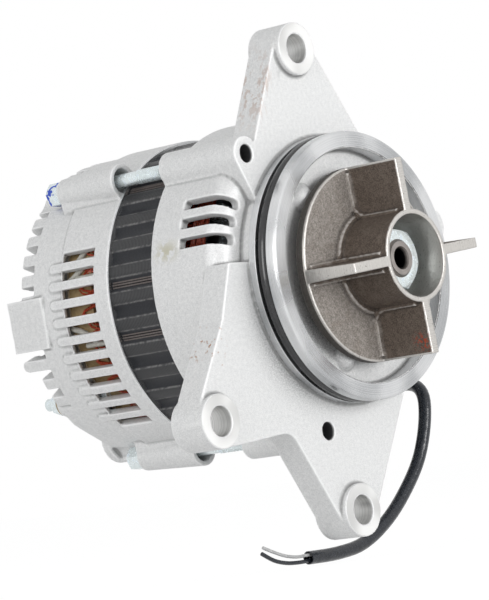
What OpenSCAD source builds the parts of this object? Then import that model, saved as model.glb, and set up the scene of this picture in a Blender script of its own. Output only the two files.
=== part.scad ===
// Flange-mounted alternator driven through a four-vane coupling.
// The rotor turns on two ball bearings inside a front and a rear casting that
// clamp the stator core between them. The engine bore locates the round pilot
// and three ears take the mounting bolts.
// Frame: millimetres, drive end towards -Y, rear towards +Y, +Z up.
// The origin is on the rotor axis, in the plane of the mounting flange face.

/* [Pilot] */
// Diameter of the machined pilot
pilot_d = 95; // [94:0.5:96]
// Length of the pilot in front of the flange face
pilot_len = 12.4; // [12:0.2:14]
// Width of the chamfer on the front edge of the pilot
pilot_chamfer = 0.8; // [0.4:0.2:1.2]
// Diameter of the recess in the front of the pilot
recess_d = 83.1; // [82:0.5:83.5]
// Depth of that recess
recess_depth = 6; // [5.8:0.1:6.4]
// Width of the groove for the O-ring
groove_w = 5; // [4.6:0.2:5.4]
// Width of the land behind the groove
rear_land = 3.4; // [3:0.2:3.6]
// Section diameter of the O-ring
o_ring_section = 4.2; // [3.8:0.1:4.4]
// How far the O-ring stands proud of the pilot
o_ring_proud = 0.2; // [0.1:0.05:0.25]

/* [Mounting ears] */
// Thickness of the flange plate
flange_t = 11; // [9:0.5:12]
// How far the ear bosses stand proud of the flange face
boss_proud = 2.4; // [1.5:0.1:3]
// Length of an ear boss
boss_len = 14.6; // [13:0.2:16]
// Diameter of an ear boss
ear_boss_d = 18.8; // [17:0.2:20]
// Diameter of the hole in each ear
ear_hole_d = 10.5; // [8.5:0.5:11]
// Distance of the top ear's hole from the axis
top_ear_r = 79; // [76:1:82]
// Angle of the top ear, counter-clockwise seen from the front
top_ear_angle = 96.8; // [94:0.2:99]
// Distance of the left ear's hole from the axis
left_ear_r = 88.3; // [86:0.5:91]
// Angle of the left ear
left_ear_angle = 213.2; // [211:0.2:215]
// Distance of the bottom ear's hole from the axis
bottom_ear_r = 85; // [83:0.5:88]
// Angle of the bottom ear
bottom_ear_angle = 265.3; // [264:0.1:267]
// Radius of the inside corner between the two lower ears
ear_fillet = 7; // [4:1:9]

/* [Front casting] */
// Outer diameter of the front casting
front_d = 115; // [114:0.5:117]
// Wall thickness of the front casting
wall = 3.6; // [3:0.2:4]
// Radius of the rounded shoulder behind the pilot
shoulder_r = 7; // [6:0.5:8]
// Distance of the shoulder's flat face behind the flange face
shoulder_back = 4; // [3.5:0.25:5]
// Distance of the front casting's rear edge behind the flange face
front_end = 36.3; // [35:0.1:37.5]
// Thickness of the wall behind the recess
front_wall_t = 5; // [4.4:0.2:5.6]
// Width of each cooling slot in the front casting
front_slot_w = 3.7; // [3:0.1:4]
// Length of each cooling slot, measured back from the shoulder face
front_slot_len = 19; // [14:0.5:22]
// Angle from one front cooling slot to the next
front_slot_pitch = 7.2; // [6.6:0.2:8]

/* [Stator] */
// Outer diameter of the stator core
core_d = 108.4; // [107.5:0.1:109]
// Inner diameter of the stator core
core_bore_d = 81; // [80.8:0.1:82]
// Length of core left open between the two castings
core_open = 22.8; // [20:0.2:24]
// How deep the core sits in each casting
core_seat = 3; // [2:0.25:4]
// Number of winding slots
slot_count = 36; // [36]
// Width of each winding slot
slot_w = 3.4; // [2.8:0.1:3.8]
// Depth of each winding slot
slot_depth = 9; // [8:0.25:9.5]
// Depth of the flutes round the outside of the core
flute_depth = 0.8; // [0.4:0.1:1.2]
// How far the winding stands out of each end of the core
end_turn = 10; // [8:0.25:10]

/* [Rear casting] */
// Outer diameter of the rear casting
rear_d = 112; // [111:0.5:113]
// Length of the rear casting
rear_len = 46; // [45:0.5:48]
// Wall thickness of the rear casting behind its side slots
rear_wall = 2.2; // [2:0.1:2.6]
// Height of the cooling fins across the rear end
fin_h = 7.2; // [6.5:0.1:7.8]
// Width of the gaps between fins, as an angle
fin_gap = 3.6; // [3:0.1:4.2]
// Angle from one rear fin to the next
fin_pitch = 8.1; // [7.9:0.1:8.3]
// Width of each side slot
side_slot_w = 3.5; // [3:0.1:3.8]
// Distance of the side slots from the rear casting's front edge
side_slot_from = 7.1; // [6:0.1:7.5]
// Length of each side slot
side_slot_len = 16.6; // [14:0.2:17.5]
// Angle from one side slot to the next
side_slot_pitch = 6.87; // [6.6:0.01:7.2]
// How far the bars between side slots stand proud of the wall
bar_proud = 1; // [0.5:0.1:1.3]

/* [Through bolts] */
// Distance of the through bolts from the axis
bolt_circle_r = 58.5; // [58:0.1:59.5]
// Shank diameter of a through bolt
bolt_d = 5.2; // [4.8:0.1:5.6]
// Diameter of the threaded hole in the front casting
bolt_thread_d = 6.5; // [6:0.1:7]
// Diameter of the bosses that the through bolts pass through
bolt_boss_d = 12.4; // [12:0.2:13]
// Diameter of the washer face under a bolt head
bolt_washer_d = 9.4; // [8.8:0.2:10.4]
// Size across the flats of a bolt head
bolt_af = 8; // [7:0.5:8.5]
// Height of a bolt head
bolt_head_h = 6.4; // [5:0.2:7]
// Depth of the bolt heads' seats below the rear face
bolt_seat_depth = 16.9; // [16:0.1:17.5]

/* [Bearings] */
// Bore of the front bearing
front_brg_bore = 17; // [16.5:0.5:17]
// Outer diameter of the front bearing
front_brg_d = 47; // [46:0.5:47]
// Width of the front bearing
front_brg_w = 14; // [13:0.5:14]
// Ball diameter of the front bearing
front_ball_d = 9; // [8:0.25:9.5]
// Bore of the rear bearing
rear_brg_bore = 15; // [14:0.5:15]
// Outer diameter of the rear bearing
rear_brg_d = 35; // [34:0.5:36]
// Width of the rear bearing
rear_brg_w = 11; // [10:0.5:11]
// Ball diameter of the rear bearing
rear_ball_d = 6; // [5.5:0.25:6.5]

/* [Rotor] */
// Outer diameter of the claw poles
rotor_d = 80; // [78:0.2:80.2]
// Length over both claw poles
rotor_len = 36; // [34:0.5:37]
// Thickness of each pole disc
pole_disc_t = 11; // [9:0.5:12]
// Width of a claw at its root
claw_root_w = 21; // [18:0.5:22]
// Width of a claw at its tip
claw_tip_w = 8; // [6:0.5:10]
// Thickness of a claw
claw_t = 6.7; // [5:0.1:7]
// Diameter of the shaft through the poles
shaft_d = 19; // [18:0.5:20]
// Height of the front fan's blades
front_blade_h = 5; // [4:0.25:5.5]
// Height of the rear fan's blades
rear_blade_h = 4; // [3:0.25:4.5]
// Diameter of both fans
fan_d = 76; // [70:1:80]
// Diameter of the slip rings
slip_d = 23; // [22:0.5:24]
// Width of each slip ring
slip_w = 4.5; // [4:0.1:5]
// Gap between the slip rings
slip_gap = 2; // [1.5:0.1:2.5]

/* [Brushes] */
// Width of a brush across the slip ring
brush_w = 6; // [5:0.25:7]
// Thickness of a brush along the axis
brush_t = 4; // [3.5:0.1:4.4]
// Length of a brush
brush_len = 14; // [12:0.5:15]
// Length of the spring behind a brush
spring_len = 14; // [12:0.5:16]
// Gap between a brush and its slip ring
brush_gap = 0.3; // [0.2:0.05:0.4]

/* [Drive coupling] */
// Diameter of the coupling disc
coupling_d = 69; // [66:0.5:70]
// Thickness of the coupling disc
disc_t = 3.8; // [3:0.2:4]
// Length of the vanes in front of the disc
vane_len = 21.6; // [18:0.2:24]
// Thickness of a vane at its tip
vane_tip_t = 3.6; // [3:0.1:4.2]
// Thickness of a vane at the disc
vane_root_t = 4.8; // [4.2:0.1:5.4]
// Outer diameter of the hub cup
cup_d = 32.5; // [31:0.5:34]
// Inner diameter of the hub cup
cup_bore_d = 29; // [28:0.5:29.5]
// Depth of the hub cup
cup_depth = 19.5; // [17:0.5:20]
// Angle at which the coupling stands
coupling_angle = 5.3; // [0:0.1:20]
// Size across the flats of the coupling nut
nut_af = 20; // [18:0.5:21]
// Height of the coupling nut
nut_h = 10; // [8:0.5:11]
// Diameter of the shaft's threaded end
thread_d = 14; // [12:0.5:14.5]

/* [Hidden] */
$fn = 64;

// Fits
seat = 0.02;             // radial clearance of pieces pressed or clamped together
ball_clear = 0.05;       // clearance of a ball in its raceways
pocket_clear = 0.25;     // clearance of a ball in its cage pocket
slide_clear = 0.15;      // clearance of a brush in its channel
air_gap = 0.3;           // clearance between still pieces that do not touch
over = 1;                // how far a cutter runs past the face it opens
ledge = 0.3;             // small step between two faces that would else be flush
neck_step = 1.2;         // step down from the pilot to the neck behind it
neck_w = 0.5;            // how far the neck reaches in front of the flange face

// Stations along the axis, measured back from the flange face
pilot_front = -pilot_len;
recess_floor = pilot_front + recess_depth;
front_wall_back = recess_floor + front_wall_t;
groove_back = -rear_land;
groove_front = groove_back - groove_w;
core_front = front_end - core_seat;
rear_front = front_end + core_open;
core_back = rear_front + core_seat;
rotor_mid = (core_front + core_back) / 2;
pole_front = rotor_mid - rotor_len / 2;
pole_back = rotor_mid + rotor_len / 2;
rear_end = rear_front + rear_len;
fin_root = rear_end - fin_h;
side_slot_front = rear_front + side_slot_from;
side_slot_back = side_slot_front + side_slot_len;

// Radii
pilot_r = pilot_d / 2;
neck_r = pilot_r - neck_step;
recess_r = recess_d / 2;
front_r = front_d / 2;
front_in_r = front_r - wall;
core_r = core_d / 2;
core_bore_r = core_bore_d / 2;
rear_r = rear_d / 2;
rear_wall_r = rear_r - bar_proud;
rear_in_r = rear_wall_r - rear_wall;
rotor_r = rotor_d / 2;
shaft_r = shaft_d / 2;
slip_r = slip_d / 2;

// Front bearing and its housing
front_brg_front = recess_floor + 3;
front_brg_back = front_brg_front + front_brg_w;
front_brg_r = front_brg_d / 2;
front_journal_r = front_brg_bore / 2;
front_pitch_r = (front_brg_d + front_brg_bore) / 4;
front_housing_r = front_brg_r + 4;
shaft_hole_r = 13;
retainer_t = 2;
retainer_r = 33;
retainer_angles = [131, 11, 251];
retainer_boss_r = 6;
retainer_bump_r = 5.8;
retainer_bump_proud = 3;
retainer_screw_r = 2.5;

// Rear bearing and its housing
rear_brg_front = rear_front + 28.4;
rear_brg_back = rear_brg_front + rear_brg_w;
rear_brg_r = rear_brg_d / 2;
rear_journal_r = rear_brg_bore / 2;
rear_pitch_r = (rear_brg_d + rear_brg_bore) / 4;
rear_housing_r = rear_brg_r + 4.5;
rear_plate_r = 34;
rear_plate_back = rear_end - 2;
rear_plate_front = rear_brg_back - 1.5;

front_balls = 7;
rear_balls = 8;
slot_lip = 0.8;          // thickness of the lip at the rear end of a side slot
slot_lip_len = 3;        // length of that lip
race_rise = 0.28;        // race shoulders, from the pitch circle, as a share of the ball
cage_half_w = 0.62;      // half the cage's width, as a share of the ball
cage_half_t = 0.11;      // half the cage's thickness, as a share of the ball

// Through bolts and rear pads
bolt_angles = [134, 253, 13.5];
bolt_boss_r = bolt_boss_d / 2;
flank_depth = 8;
flank_spread = 4.5;
bolt_seat = rear_end - bolt_seat_depth;
bolt_tip = 4;
seat_boss_r = bolt_washer_d / 2 + 0.4;
bolt_head_room = 0.5;       // room round a bolt's washer face

// Slots of the two castings: first angle and how many follow
front_slot_runs = [[151, 3], [32, 4], [309, 6]];
side_slot_runs = [[161.3, 11], [275, 7], [38, 8]];
fin_gap_count = 44;
fin_gap_first = 147;
fin_gap_in_r = 35;
gap_off_bolt = 4.5;
gap_off_block = 10;
plain_wall_mid = 242;
plain_wall_half = 20;
full_turn = 360;

// Terminal pad on the left of the rear casting, the long finger and the lobe below it
block_angle = 184;
block_w = 18.6;
block_depth = 13;
block_front = rear_front + 34;
block_back = rear_end + 5.3;
guard_angle = 199.65;
guard_w = 4.2;
guard_depth = 6;
guard_back = rear_end + 3.6;
lobe_angle = 260;
lobe_r = 9.3;
lobe_at_r = 48.2;
lobe_back = rear_end + 4.6;
chord_from = 226;
chord_to = 258;
chord_slope = 12;

// Output terminal
stud_angle = 221;
stud_at_r = 49.6;
stud_r = 2.5;
stud_end_r = 2.3;
stud_tip = rear_end + 9;
stud_head_t = 3;
stud_head_af = 7;
bush_flange_t = 1;
stud_pad_r = 5.4;
stud_bush_r = 3.8;
stud_room_r = stud_head_af / sqrt(3) + air_gap;
output_nut_af = 8;
output_nut_h = 3;
nut_outer = rear_end + bush_flange_t + output_nut_h;
stud_end_from = nut_outer + 0.5;

// Rectifier, with its two plates held on three screws
rect_from = 122;
rect_to = 262;
rect_in_r = 27;
rect_screw_r = 38;
rect_screw_angles = [129, 192, 255];
neg_plate_front = rear_brg_front - 11.5;
neg_plate_t = 3;
pos_plate_t = 3;
pos_plate_front = neg_plate_front + 8;
pos_plate_back = pos_plate_front + pos_plate_t;
rect_block_out_r = 50.5;
rect_block_in_r = 45.5;
lead_angles = [162, 169, 196];
lead_r = 1;
lead_hold = 6;
rect_block_front = core_back + end_turn + 0.6;
rect_block_back = pos_plate_front;
diode_r = 4.8;
diode_h = 6;
diode_at_r = 36.5;
diode_lead = 3;
diode_lead_r = 0.8;
small_screw_r = 1.9;
small_head_r = 3.6;
small_head_h = 2.4;
post_r = 4.6;

// Brushes, their springs and their holder
slip_front = rear_front + 14.9;
brush_mid = [slip_front + slip_w / 2, slip_front + slip_w * 1.5 + slip_gap];
brush_low = slip_r + brush_gap;
brush_top = brush_low + brush_len;
spring_top = brush_top + spring_len;
spring_r = 1.8;
spring_wire_r = 0.35;
spring_turns = 8;
holder_w = 18;
holder_front = slip_front - 1.5;
holder_back = slip_front + 2 * slip_w + slip_gap + 1.5;
holder_low = slip_r + 2.6;
holder_cap_t = 2;
holder_ear_x = 14;
holder_ear_z = 33;
holder_ear_t = 3;

// Voltage regulator
reg_from = -48;
reg_to = 42;
reg_in_r = 29;
reg_out_r = 49.5;
reg_front = rear_brg_front - 13;
reg_back = rear_brg_front - 3;
reg_screw_r = 39;
reg_screw_angles = [-40, 34];

// Rotor details
claw_count = 6;
pole_core_r = 19;
pole_root_r = 31;
claw_in_r = rotor_r - claw_t;
claw_reach = rotor_len - 3.7;
claw_straight = 6.3;
bobbin_t = 1.2;
bobbin_r = claw_in_r - 0.8;
fan_t = 1.2;
rear_fan_back = pole_back + fan_t + rear_blade_h;
fan_in_r = 24;
fan_blades = 11;
blade_t = 1.2;
blade_lean = 32;
sleeve_in_r = 8;
spacer_r = 12.5;

// Coupling details
disc_back = recess_floor - retainer_bump_proud - 1;
disc_front = disc_back - disc_t;
vane_tip = disc_front - vane_len;
coupling_r = coupling_d / 2;
cup_r = cup_d / 2;
cup_bore_r = cup_bore_d / 2;
cup_floor = vane_tip + cup_depth;
hub_boss_r = 12;
washer_t = 1.6;
washer_r = 13;
nut_back = cup_floor - washer_t;
nut_front = nut_back - nut_h;
shaft_tip = nut_front - 1;
thread_r = thread_d / 2;
centre_hole_r = 2.75;
centre_hole_depth = 8;
key_w = 5;
key_from = cup_floor + 1.5;
key_to = front_brg_front - 1.5;
key_low = front_journal_r - 2.5;
key_high = front_journal_r + 2;

// Harness: grommet in the rear casting and the routes of what leaves it
grommet_angle = -35;
grommet_y = side_slot_front + 12;
grommet_r = 4.9;
grommet_flange_r = 6.6;
sleeve_r = 2.5;
wire_r = 0.75;
grommet_face_r = rear_r + 2.6;
grommet_out = [cos(grommet_angle), 0, sin(grommet_angle)];
sleeve_start = grommet_face_r * grommet_out + [0, grommet_y, 0];
sleeve_route = concat([sleeve_start, sleeve_start + 4 * grommet_out], [
    [58, 77, -40], [62, 72, -43], [64, 60, -44], [64, 44, -43],
    [64, 28, -42], [62, 20, -46], [59, 18, -56], [53, 18, -69], [43, 18, -80], [30, 18, -90],
    [15, 18, -97], [0, 18, -99], [-16, 18, -99]
]);
wire_route_1 = [
    [-16.1, 18, -98], [-22, 18, -98], [-28, 18, -97], [-34, 18, -95], [-39, 18, -93]
];
wire_route_2 = [
    [-16.1, 18, -100], [-22, 18, -100], [-28, 18, -99.5], [-34, 18, -98], [-40, 18, -95]
];

casting = [0.78, 0.79, 0.78];
machined = [0.86, 0.87, 0.88];
zinc = [0.72, 0.78, 0.8];
steel = [0.55, 0.56, 0.58];
iron = [0.42, 0.38, 0.36];
dark = [0.12, 0.12, 0.13];
copper = [0.72, 0.2, 0.12];
tan_plastic = [0.68, 0.57, 0.4];

// Extrudes an outline seen from the front, from station y0 back to y1
module slab(y0, y1) {
    translate([0, y1, 0]) rotate([90, 0, 0]) linear_extrude(y1 - y0) children();
}

// Round bar on the axis
module rod(y0, y1, r) {
    slab(y0, y1) circle(r);
}

// Round bar on the axis that tapers from radius r0 to r1
module cone(y0, y1, r0, r1) {
    translate([0, y1, 0]) rotate([90, 0, 0]) cylinder(h = y1 - y0, r1 = r1, r2 = r0);
}

// Plain ring on the axis
module ring(y0, y1, r_out, r_in) {
    slab(y0, y1) difference() {
        circle(r_out);
        circle(r_in);
    }
}

// Revolves a profile drawn with the radius along x and the station along y
module turned() {
    rotate([90, 0, 0]) rotate_extrude() mirror([0, 1]) children();
}

// Turns about the axis, counter-clockwise seen from the front
module turn(a) {
    rotate([0, -a, 0]) children();
}

// Moves out to radius r at angle a
module polar(r, a) {
    turn(a) translate([r, 0, 0]) children();
}

// Hexagon with the given size across its flats
module hexagon(af) {
    circle(af / sqrt(3), $fn = 6);
}

// Sector of a ring between two angles less than 180 degrees apart
module sector_outline(r_out, r_in, from, to) {
    mid = (from + to) / 2;
    reach = r_out * 2;
    intersection() {
        difference() {
            circle(r_out);
            circle(r_in);
        }
        polygon([
            [0, 0], reach * dir(from), reach * 1.5 * dir((from + mid) / 2),
            reach * 1.5 * dir(mid), reach * 1.5 * dir((mid + to) / 2), reach * dir(to)
        ]);
    }
}

function dir(a) = [cos(a), sin(a)];

// Point where a line from p touches the circle at c, on the left or right side
function touch(p, c, r, side) =
    let (d = c - p, l = norm(d), base = atan2(d[1], d[0]), off = asin(r / l))
    p + sqrt(l * l - r * r) * dir(base + side * off);

top_ear = top_ear_r * dir(top_ear_angle);
left_ear = left_ear_r * dir(left_ear_angle);
bottom_ear = bottom_ear_r * dir(bottom_ear_angle);
ear_boss_r = ear_boss_d / 2;
top_bolt = bolt_circle_r * dir(bolt_angles[0]);

// Corners of the flange outline between the ears
top_root_right = [24, 44.5];
top_root_left = [-35.5, 46.5];
top_valley = [-38.8, 25.8];
left_root_in = [-46, 4.8];
left_root = [-57.2, 4.8];
left_bend = [-64.3, -14.5];
lower_corner = [-36.5, -54.8];
bottom_root = [26.9, -45.9];

// Fills the inside corner at p between edges towards a and b
module corner_fill(p, a, b, r) {
    u = (a - p) / norm(a - p);
    v = (b - p) / norm(b - p);
    half = acos(u * v) / 2;
    m = (u + v) / norm(u + v);
    c = p + m * r / sin(half);
    t = r / tan(half);
    difference() {
        polygon([p - m * over, p + u * t, c, p + v * t]);
        translate(c) circle(r);
    }
}

module flange_outline() {
    circle(neck_r);
    for (c = [top_ear, left_ear, bottom_ear]) translate(c) circle(ear_boss_r);
    polygon([
        [0, 0], top_root_right, touch(top_root_right, top_ear, ear_boss_r, -1), top_ear,
        touch(top_root_left, top_ear, ear_boss_r, 1), top_root_left, top_bolt,
        touch(top_valley, top_bolt, bolt_boss_r, 1), top_valley
    ]);
    polygon([
        [0, 0], left_root_in, left_root, left_bend,
        touch(left_bend, left_ear, ear_boss_r, -1), left_ear,
        touch(lower_corner, left_ear, ear_boss_r, 1), lower_corner,
        touch(lower_corner, bottom_ear, ear_boss_r, -1), bottom_ear,
        touch(bottom_root, bottom_ear, ear_boss_r, 1), bottom_root
    ]);
    corner_fill(
        lower_corner, touch(lower_corner, left_ear, ear_boss_r, 1),
        touch(lower_corner, bottom_ear, ear_boss_r, -1), ear_fillet
    );
}

// Flanks of a boss on the bolt circle, which run into the wall
module boss_flank_outline(r) {
    polygon([
        [0, -r], [0, r], [-flank_depth, r + flank_spread], [-flank_depth, -r - flank_spread]
    ]);
}

// Outside of the front casting as a solid of revolution
module front_outside() {
    arc_r = front_r - shoulder_r;
    turned() {
        polygon([
            [0, pilot_front], [pilot_r - pilot_chamfer, pilot_front],
            [pilot_r, pilot_front + pilot_chamfer], [pilot_r, groove_front],
            [pilot_r + o_ring_proud - o_ring_section, groove_front],
            [pilot_r + o_ring_proud - o_ring_section, groove_back], [pilot_r, groove_back],
            [pilot_r, -neck_w], [neck_r, -neck_w], [neck_r, shoulder_back],
            [arc_r, shoulder_back], [arc_r, shoulder_back + shoulder_r],
            [front_r, shoulder_back + shoulder_r], [front_r, front_end], [0, front_end]
        ]);
        translate([arc_r, shoulder_back + shoulder_r]) circle(shoulder_r);
    }
}

// Hollow of the front casting, with the step that the core sits against
module front_hollow() {
    arc_r = front_r - shoulder_r;
    in_arc = shoulder_r - wall;
    turned() {
        polygon([
            [0, front_wall_back], [pilot_r - 4.3, front_wall_back],
            [pilot_r - 4.3, shoulder_back + wall], [arc_r, shoulder_back + wall],
            [arc_r, shoulder_back + shoulder_r], [front_in_r, shoulder_back + shoulder_r],
            [front_in_r, core_front], [core_r + seat, core_front],
            [core_r + seat, front_end + over], [0, front_end + over]
        ]);
        translate([arc_r, shoulder_back + shoulder_r]) circle(in_arc);
    }
}

// Cutter for one front cooling slot, rounded where it meets the shoulder face
module front_slot() {
    half = front_slot_w / 2;
    y0 = shoulder_back - over;
    y1 = shoulder_back + front_slot_len;
    round_at = pilot_r + 4;
    translate([round_at, 0, 0]) rod(y0, y1, half);
    translate([round_at, y0, -half]) cube([front_r, y1 - y0, front_slot_w]);
}

module front_frame() {
    color(casting) difference() {
        union() {
            difference() {
                union() {
                    front_outside();
                    slab(0, flange_t) flange_outline();
                    for (c = [top_ear, left_ear, bottom_ear])
                        slab(-boss_proud, boss_len - boss_proud) translate(c) circle(ear_boss_r);
                    for (a = bolt_angles) polar(bolt_circle_r, a) {
                        rod(0, front_end - ledge, bolt_boss_r);
                        slab(flange_t - ledge, front_end - ledge) boss_flank_outline(bolt_boss_r);
                    }
                }
                front_hollow();
                rod(pilot_front - over, recess_floor, recess_r);
            }
            ring(front_wall_back - over, front_brg_back, front_housing_r, front_brg_r - over);
            for (a = retainer_angles) polar(retainer_r, a) {
                rod(front_wall_back - over, front_brg_back, retainer_boss_r);
                translate([0, recess_floor + retainer_bump_r - retainer_bump_proud, 0])
                    sphere(retainer_bump_r);
            }
        }
        rod(front_brg_front, front_brg_back + over, front_brg_r + seat);
        rod(recess_floor - over, front_brg_front + over, shaft_hole_r);
        for (c = [top_ear, left_ear, bottom_ear])
            slab(-boss_proud - over, boss_len + over) translate(c) circle(ear_hole_d / 2);
        for (a = bolt_angles)
            polar(bolt_circle_r, a) rod(-over, front_end + over, bolt_thread_d / 2);
        for (a = retainer_angles) polar(retainer_r, a)
            rod(recess_floor + 3, front_brg_back + over, retainer_screw_r + seat);
        for (run = front_slot_runs, i = [0 : run[1] - 1])
            turn(run[0] + i * front_slot_pitch) front_slot();
    }
}

module pilot_o_ring() {
    r = o_ring_section / 2;
    color(dark) turned() translate([pilot_r + o_ring_proud - r, (groove_front + groove_back) / 2])
        circle(r);
}

// Raceway cut by the balls, slightly larger than a ball
module raceway(y_mid, pitch_r, ball_d) {
    turned() translate([pitch_r, y_mid]) circle(ball_d / 2 + ball_clear);
}

module outer_race(y0, w, r_out, pitch_r, ball_d) {
    difference() {
        ring(y0, y0 + w, r_out, pitch_r + ball_d * race_rise);
        raceway(y0 + w / 2, pitch_r, ball_d);
    }
}

module inner_race(y0, w, bore_r, pitch_r, ball_d) {
    difference() {
        ring(y0, y0 + w, pitch_r - ball_d * race_rise, bore_r);
        raceway(y0 + w / 2, pitch_r, ball_d);
    }
}

module balls(y_mid, pitch_r, ball_d, count) {
    for (i = [0 : count - 1])
        polar(pitch_r, i * 360 / count) translate([0, y_mid, 0]) sphere(ball_d / 2);
}

// Ball cage: a band drilled with one round pocket for each ball
module cage(y_mid, pitch_r, ball_d, count) {
    band = ball_d * cage_half_w;
    half_t = ball_d * cage_half_t;
    difference() {
        ring(y_mid - band, y_mid + band, pitch_r + half_t, pitch_r - half_t);
        for (i = [0 : count - 1])
            polar(pitch_r - ball_d / 2, i * 360 / count) translate([0, y_mid, 0])
                rotate([0, 90, 0]) cylinder(h = ball_d, r = ball_d / 2 + pocket_clear);
    }
}

front_brg_mid = front_brg_front + front_brg_w / 2;
rear_brg_mid = rear_brg_front + rear_brg_w / 2;

module front_bearing_outer_race() {
    color(steel) outer_race(front_brg_front, front_brg_w, front_brg_r, front_pitch_r, front_ball_d);
}

module front_bearing_inner_race() {
    color(steel)
        inner_race(front_brg_front, front_brg_w, front_journal_r, front_pitch_r, front_ball_d);
}

module front_bearing_balls() {
    color(machined) balls(front_brg_mid, front_pitch_r, front_ball_d, front_balls);
}

module front_bearing_cage() {
    color(steel) cage(front_brg_mid, front_pitch_r, front_ball_d, front_balls);
}

module bearing_retainer_plate() {
    color(zinc) slab(front_brg_back, front_brg_back + retainer_t) difference() {
        union() {
            circle(front_housing_r);
            for (a = retainer_angles) translate(retainer_r * dir(a)) circle(retainer_boss_r);
        }
        circle(front_brg_r - 4);
        for (a = retainer_angles) translate(retainer_r * dir(a)) circle(retainer_screw_r + seat);
    }
}

module retainer_screws() {
    back = front_brg_back + retainer_t;
    color(zinc) for (a = retainer_angles) polar(retainer_r, a) {
        rod(recess_floor + 4, back + seat, retainer_screw_r);
        rod(back, back + 2.6, retainer_screw_r + 1.8);
    }
}

module stator_core() {
    step = 360 / slot_count;
    flute = [[core_r - flute_depth, -1.9], [core_r + over, -2.7], [core_r + over, 2.5],
             [core_r - flute_depth, 1.7]];
    color(dark) slab(core_front, core_back) difference() {
        circle(core_r);
        circle(core_bore_r);
        for (i = [0 : slot_count - 1]) rotate(i * step) {
            translate([core_bore_r - over, -slot_w / 2]) square([slot_depth + over, slot_w]);
            rotate(step / 2) polygon(flute);
        }
    }
}

// Winding: bars through the slots, a band and a crown of loops at each end
module stator_winding() {
    step = 360 / slot_count;
    loop_r = slot_w;
    in_r = core_bore_r + 1.4;
    mid_r = in_r + loop_r;
    bar_w = slot_w - 2 * air_gap;
    color(copper) {
        for (end = [[core_front - end_turn, core_front], [core_back, core_back + end_turn]])
            for (i = [0 : slot_count - 1]) polar(mid_r, i * step) rod(end[0], end[1], loop_r);
        ring(core_front - end_turn + 2, core_front, mid_r + 1.6, mid_r - 1.6);
        ring(core_back, core_back + end_turn - 2, mid_r + 1.6, mid_r - 1.6);
        for (i = [0 : slot_count - 1]) turn(i * step)
            translate([in_r, core_front - over, -bar_w / 2])
                cube([slot_depth - 1.4 - air_gap, core_back - core_front + 2 * over, bar_w]);
    }
}

module slot_wedges() {
    step = 360 / slot_count;
    color(tan_plastic) for (i = [0 : slot_count - 1]) turn(i * step)
        translate([core_bore_r + 0.15, core_front, -slot_w / 2 + seat])
            cube([1, core_back - core_front, slot_w - 2 * seat]);
}

// Sleeved leads that lie against the outside of the terminal block
module stator_leads() {
    color([0.75, 0.75, 0.72]) for (a = lead_angles)
        polar(rect_block_out_r + seat + lead_r, a)
            rod(core_back + air_gap, rect_block_front + lead_hold, lead_r);
}

// Outside of the rear casting; the fins' outer corner is rounded
module rear_outside() {
    corner = 2.4;
    turned() {
        polygon([
            [0, rear_front], [rear_r, rear_front], [rear_r, side_slot_back - 0.6],
            [rear_wall_r, side_slot_back + 0.4], [rear_wall_r, rear_end - corner],
            [rear_wall_r - corner, rear_end - corner], [rear_wall_r - corner, rear_end],
            [rear_plate_r, rear_end], [rear_plate_r - 1, rear_plate_back], [0, rear_plate_back]
        ]);
        translate([rear_wall_r - corner, rear_end - corner]) circle(corner);
    }
}

// Hollow of the rear casting in front of the fins and round the bearing housing
module rear_hollow() {
    turned() polygon([
        [0, rear_front - over], [core_r + seat, rear_front - over], [core_r + seat, core_back],
        [rear_in_r, core_back], [rear_in_r, fin_root], [rear_plate_r, fin_root],
        [rear_plate_r, rear_plate_front], [0, rear_plate_front]
    ]);
}

// Gap between two fins, wider towards the outside
module fin_gap_outline() {
    polygon([
        fin_gap_in_r * dir(-fin_gap / 2), (rear_r + over) * dir(-fin_gap / 2),
        (rear_r + over) * dir(fin_gap / 2), fin_gap_in_r * dir(fin_gap / 2)
    ]);
}

function apart(a, b) = abs((a - b + 540) % 360 - 180);

// Gaps are left out at the bolts, at the terminal pad and over the plain wall by the lobe
fin_gap_angles = [
    for (i = [0 : fin_gap_count - 1])
        let (a = fin_gap_first - fin_pitch + i * fin_pitch)
        if (min([for (b = bolt_angles) apart(a, b)]) > gap_off_bolt
            && apart(a, block_angle) > gap_off_block
            && apart(a, plain_wall_mid) > plain_wall_half
            && a < fin_gap_first + full_turn - 2 * fin_pitch) a
];

// Cutter for one side slot, longer inside so that a thin lip is left at its rear end
module side_slot() {
    translate([rear_in_r - 2 * over, side_slot_front, -side_slot_w / 2]) {
        cube([rear_r, side_slot_len, side_slot_w]);
        cube([rear_wall_r - slot_lip - rear_in_r + 2 * over, side_slot_len + slot_lip_len,
            side_slot_w]);
    }
}

// Cutter that slopes the plain wall off between the stud and the lobe
module plain_wall_chamfer() {
    a = (chord_from + chord_to) / 2;
    near_r = rear_wall_r * cos((chord_to - chord_from) / 2);
    turn(a) translate([near_r, rear_end, 0]) rotate([0, 0, chord_slope])
        translate([0, -rear_len / 2, -rear_r / 2]) cube([rear_r, rear_len, rear_r]);
}

// Long finger beside the terminal pad, with a round end
module guard_finger() {
    r0 = rear_wall_r - guard_depth;
    translate([r0, fin_root - ledge, -guard_w / 2])
        cube([guard_depth - ledge, guard_back - fin_root, guard_w]);
    translate([r0, guard_back - ledge, 0]) rotate([0, 90, 0])
        cylinder(h = guard_depth - ledge, r = guard_w / 2);
}

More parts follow.
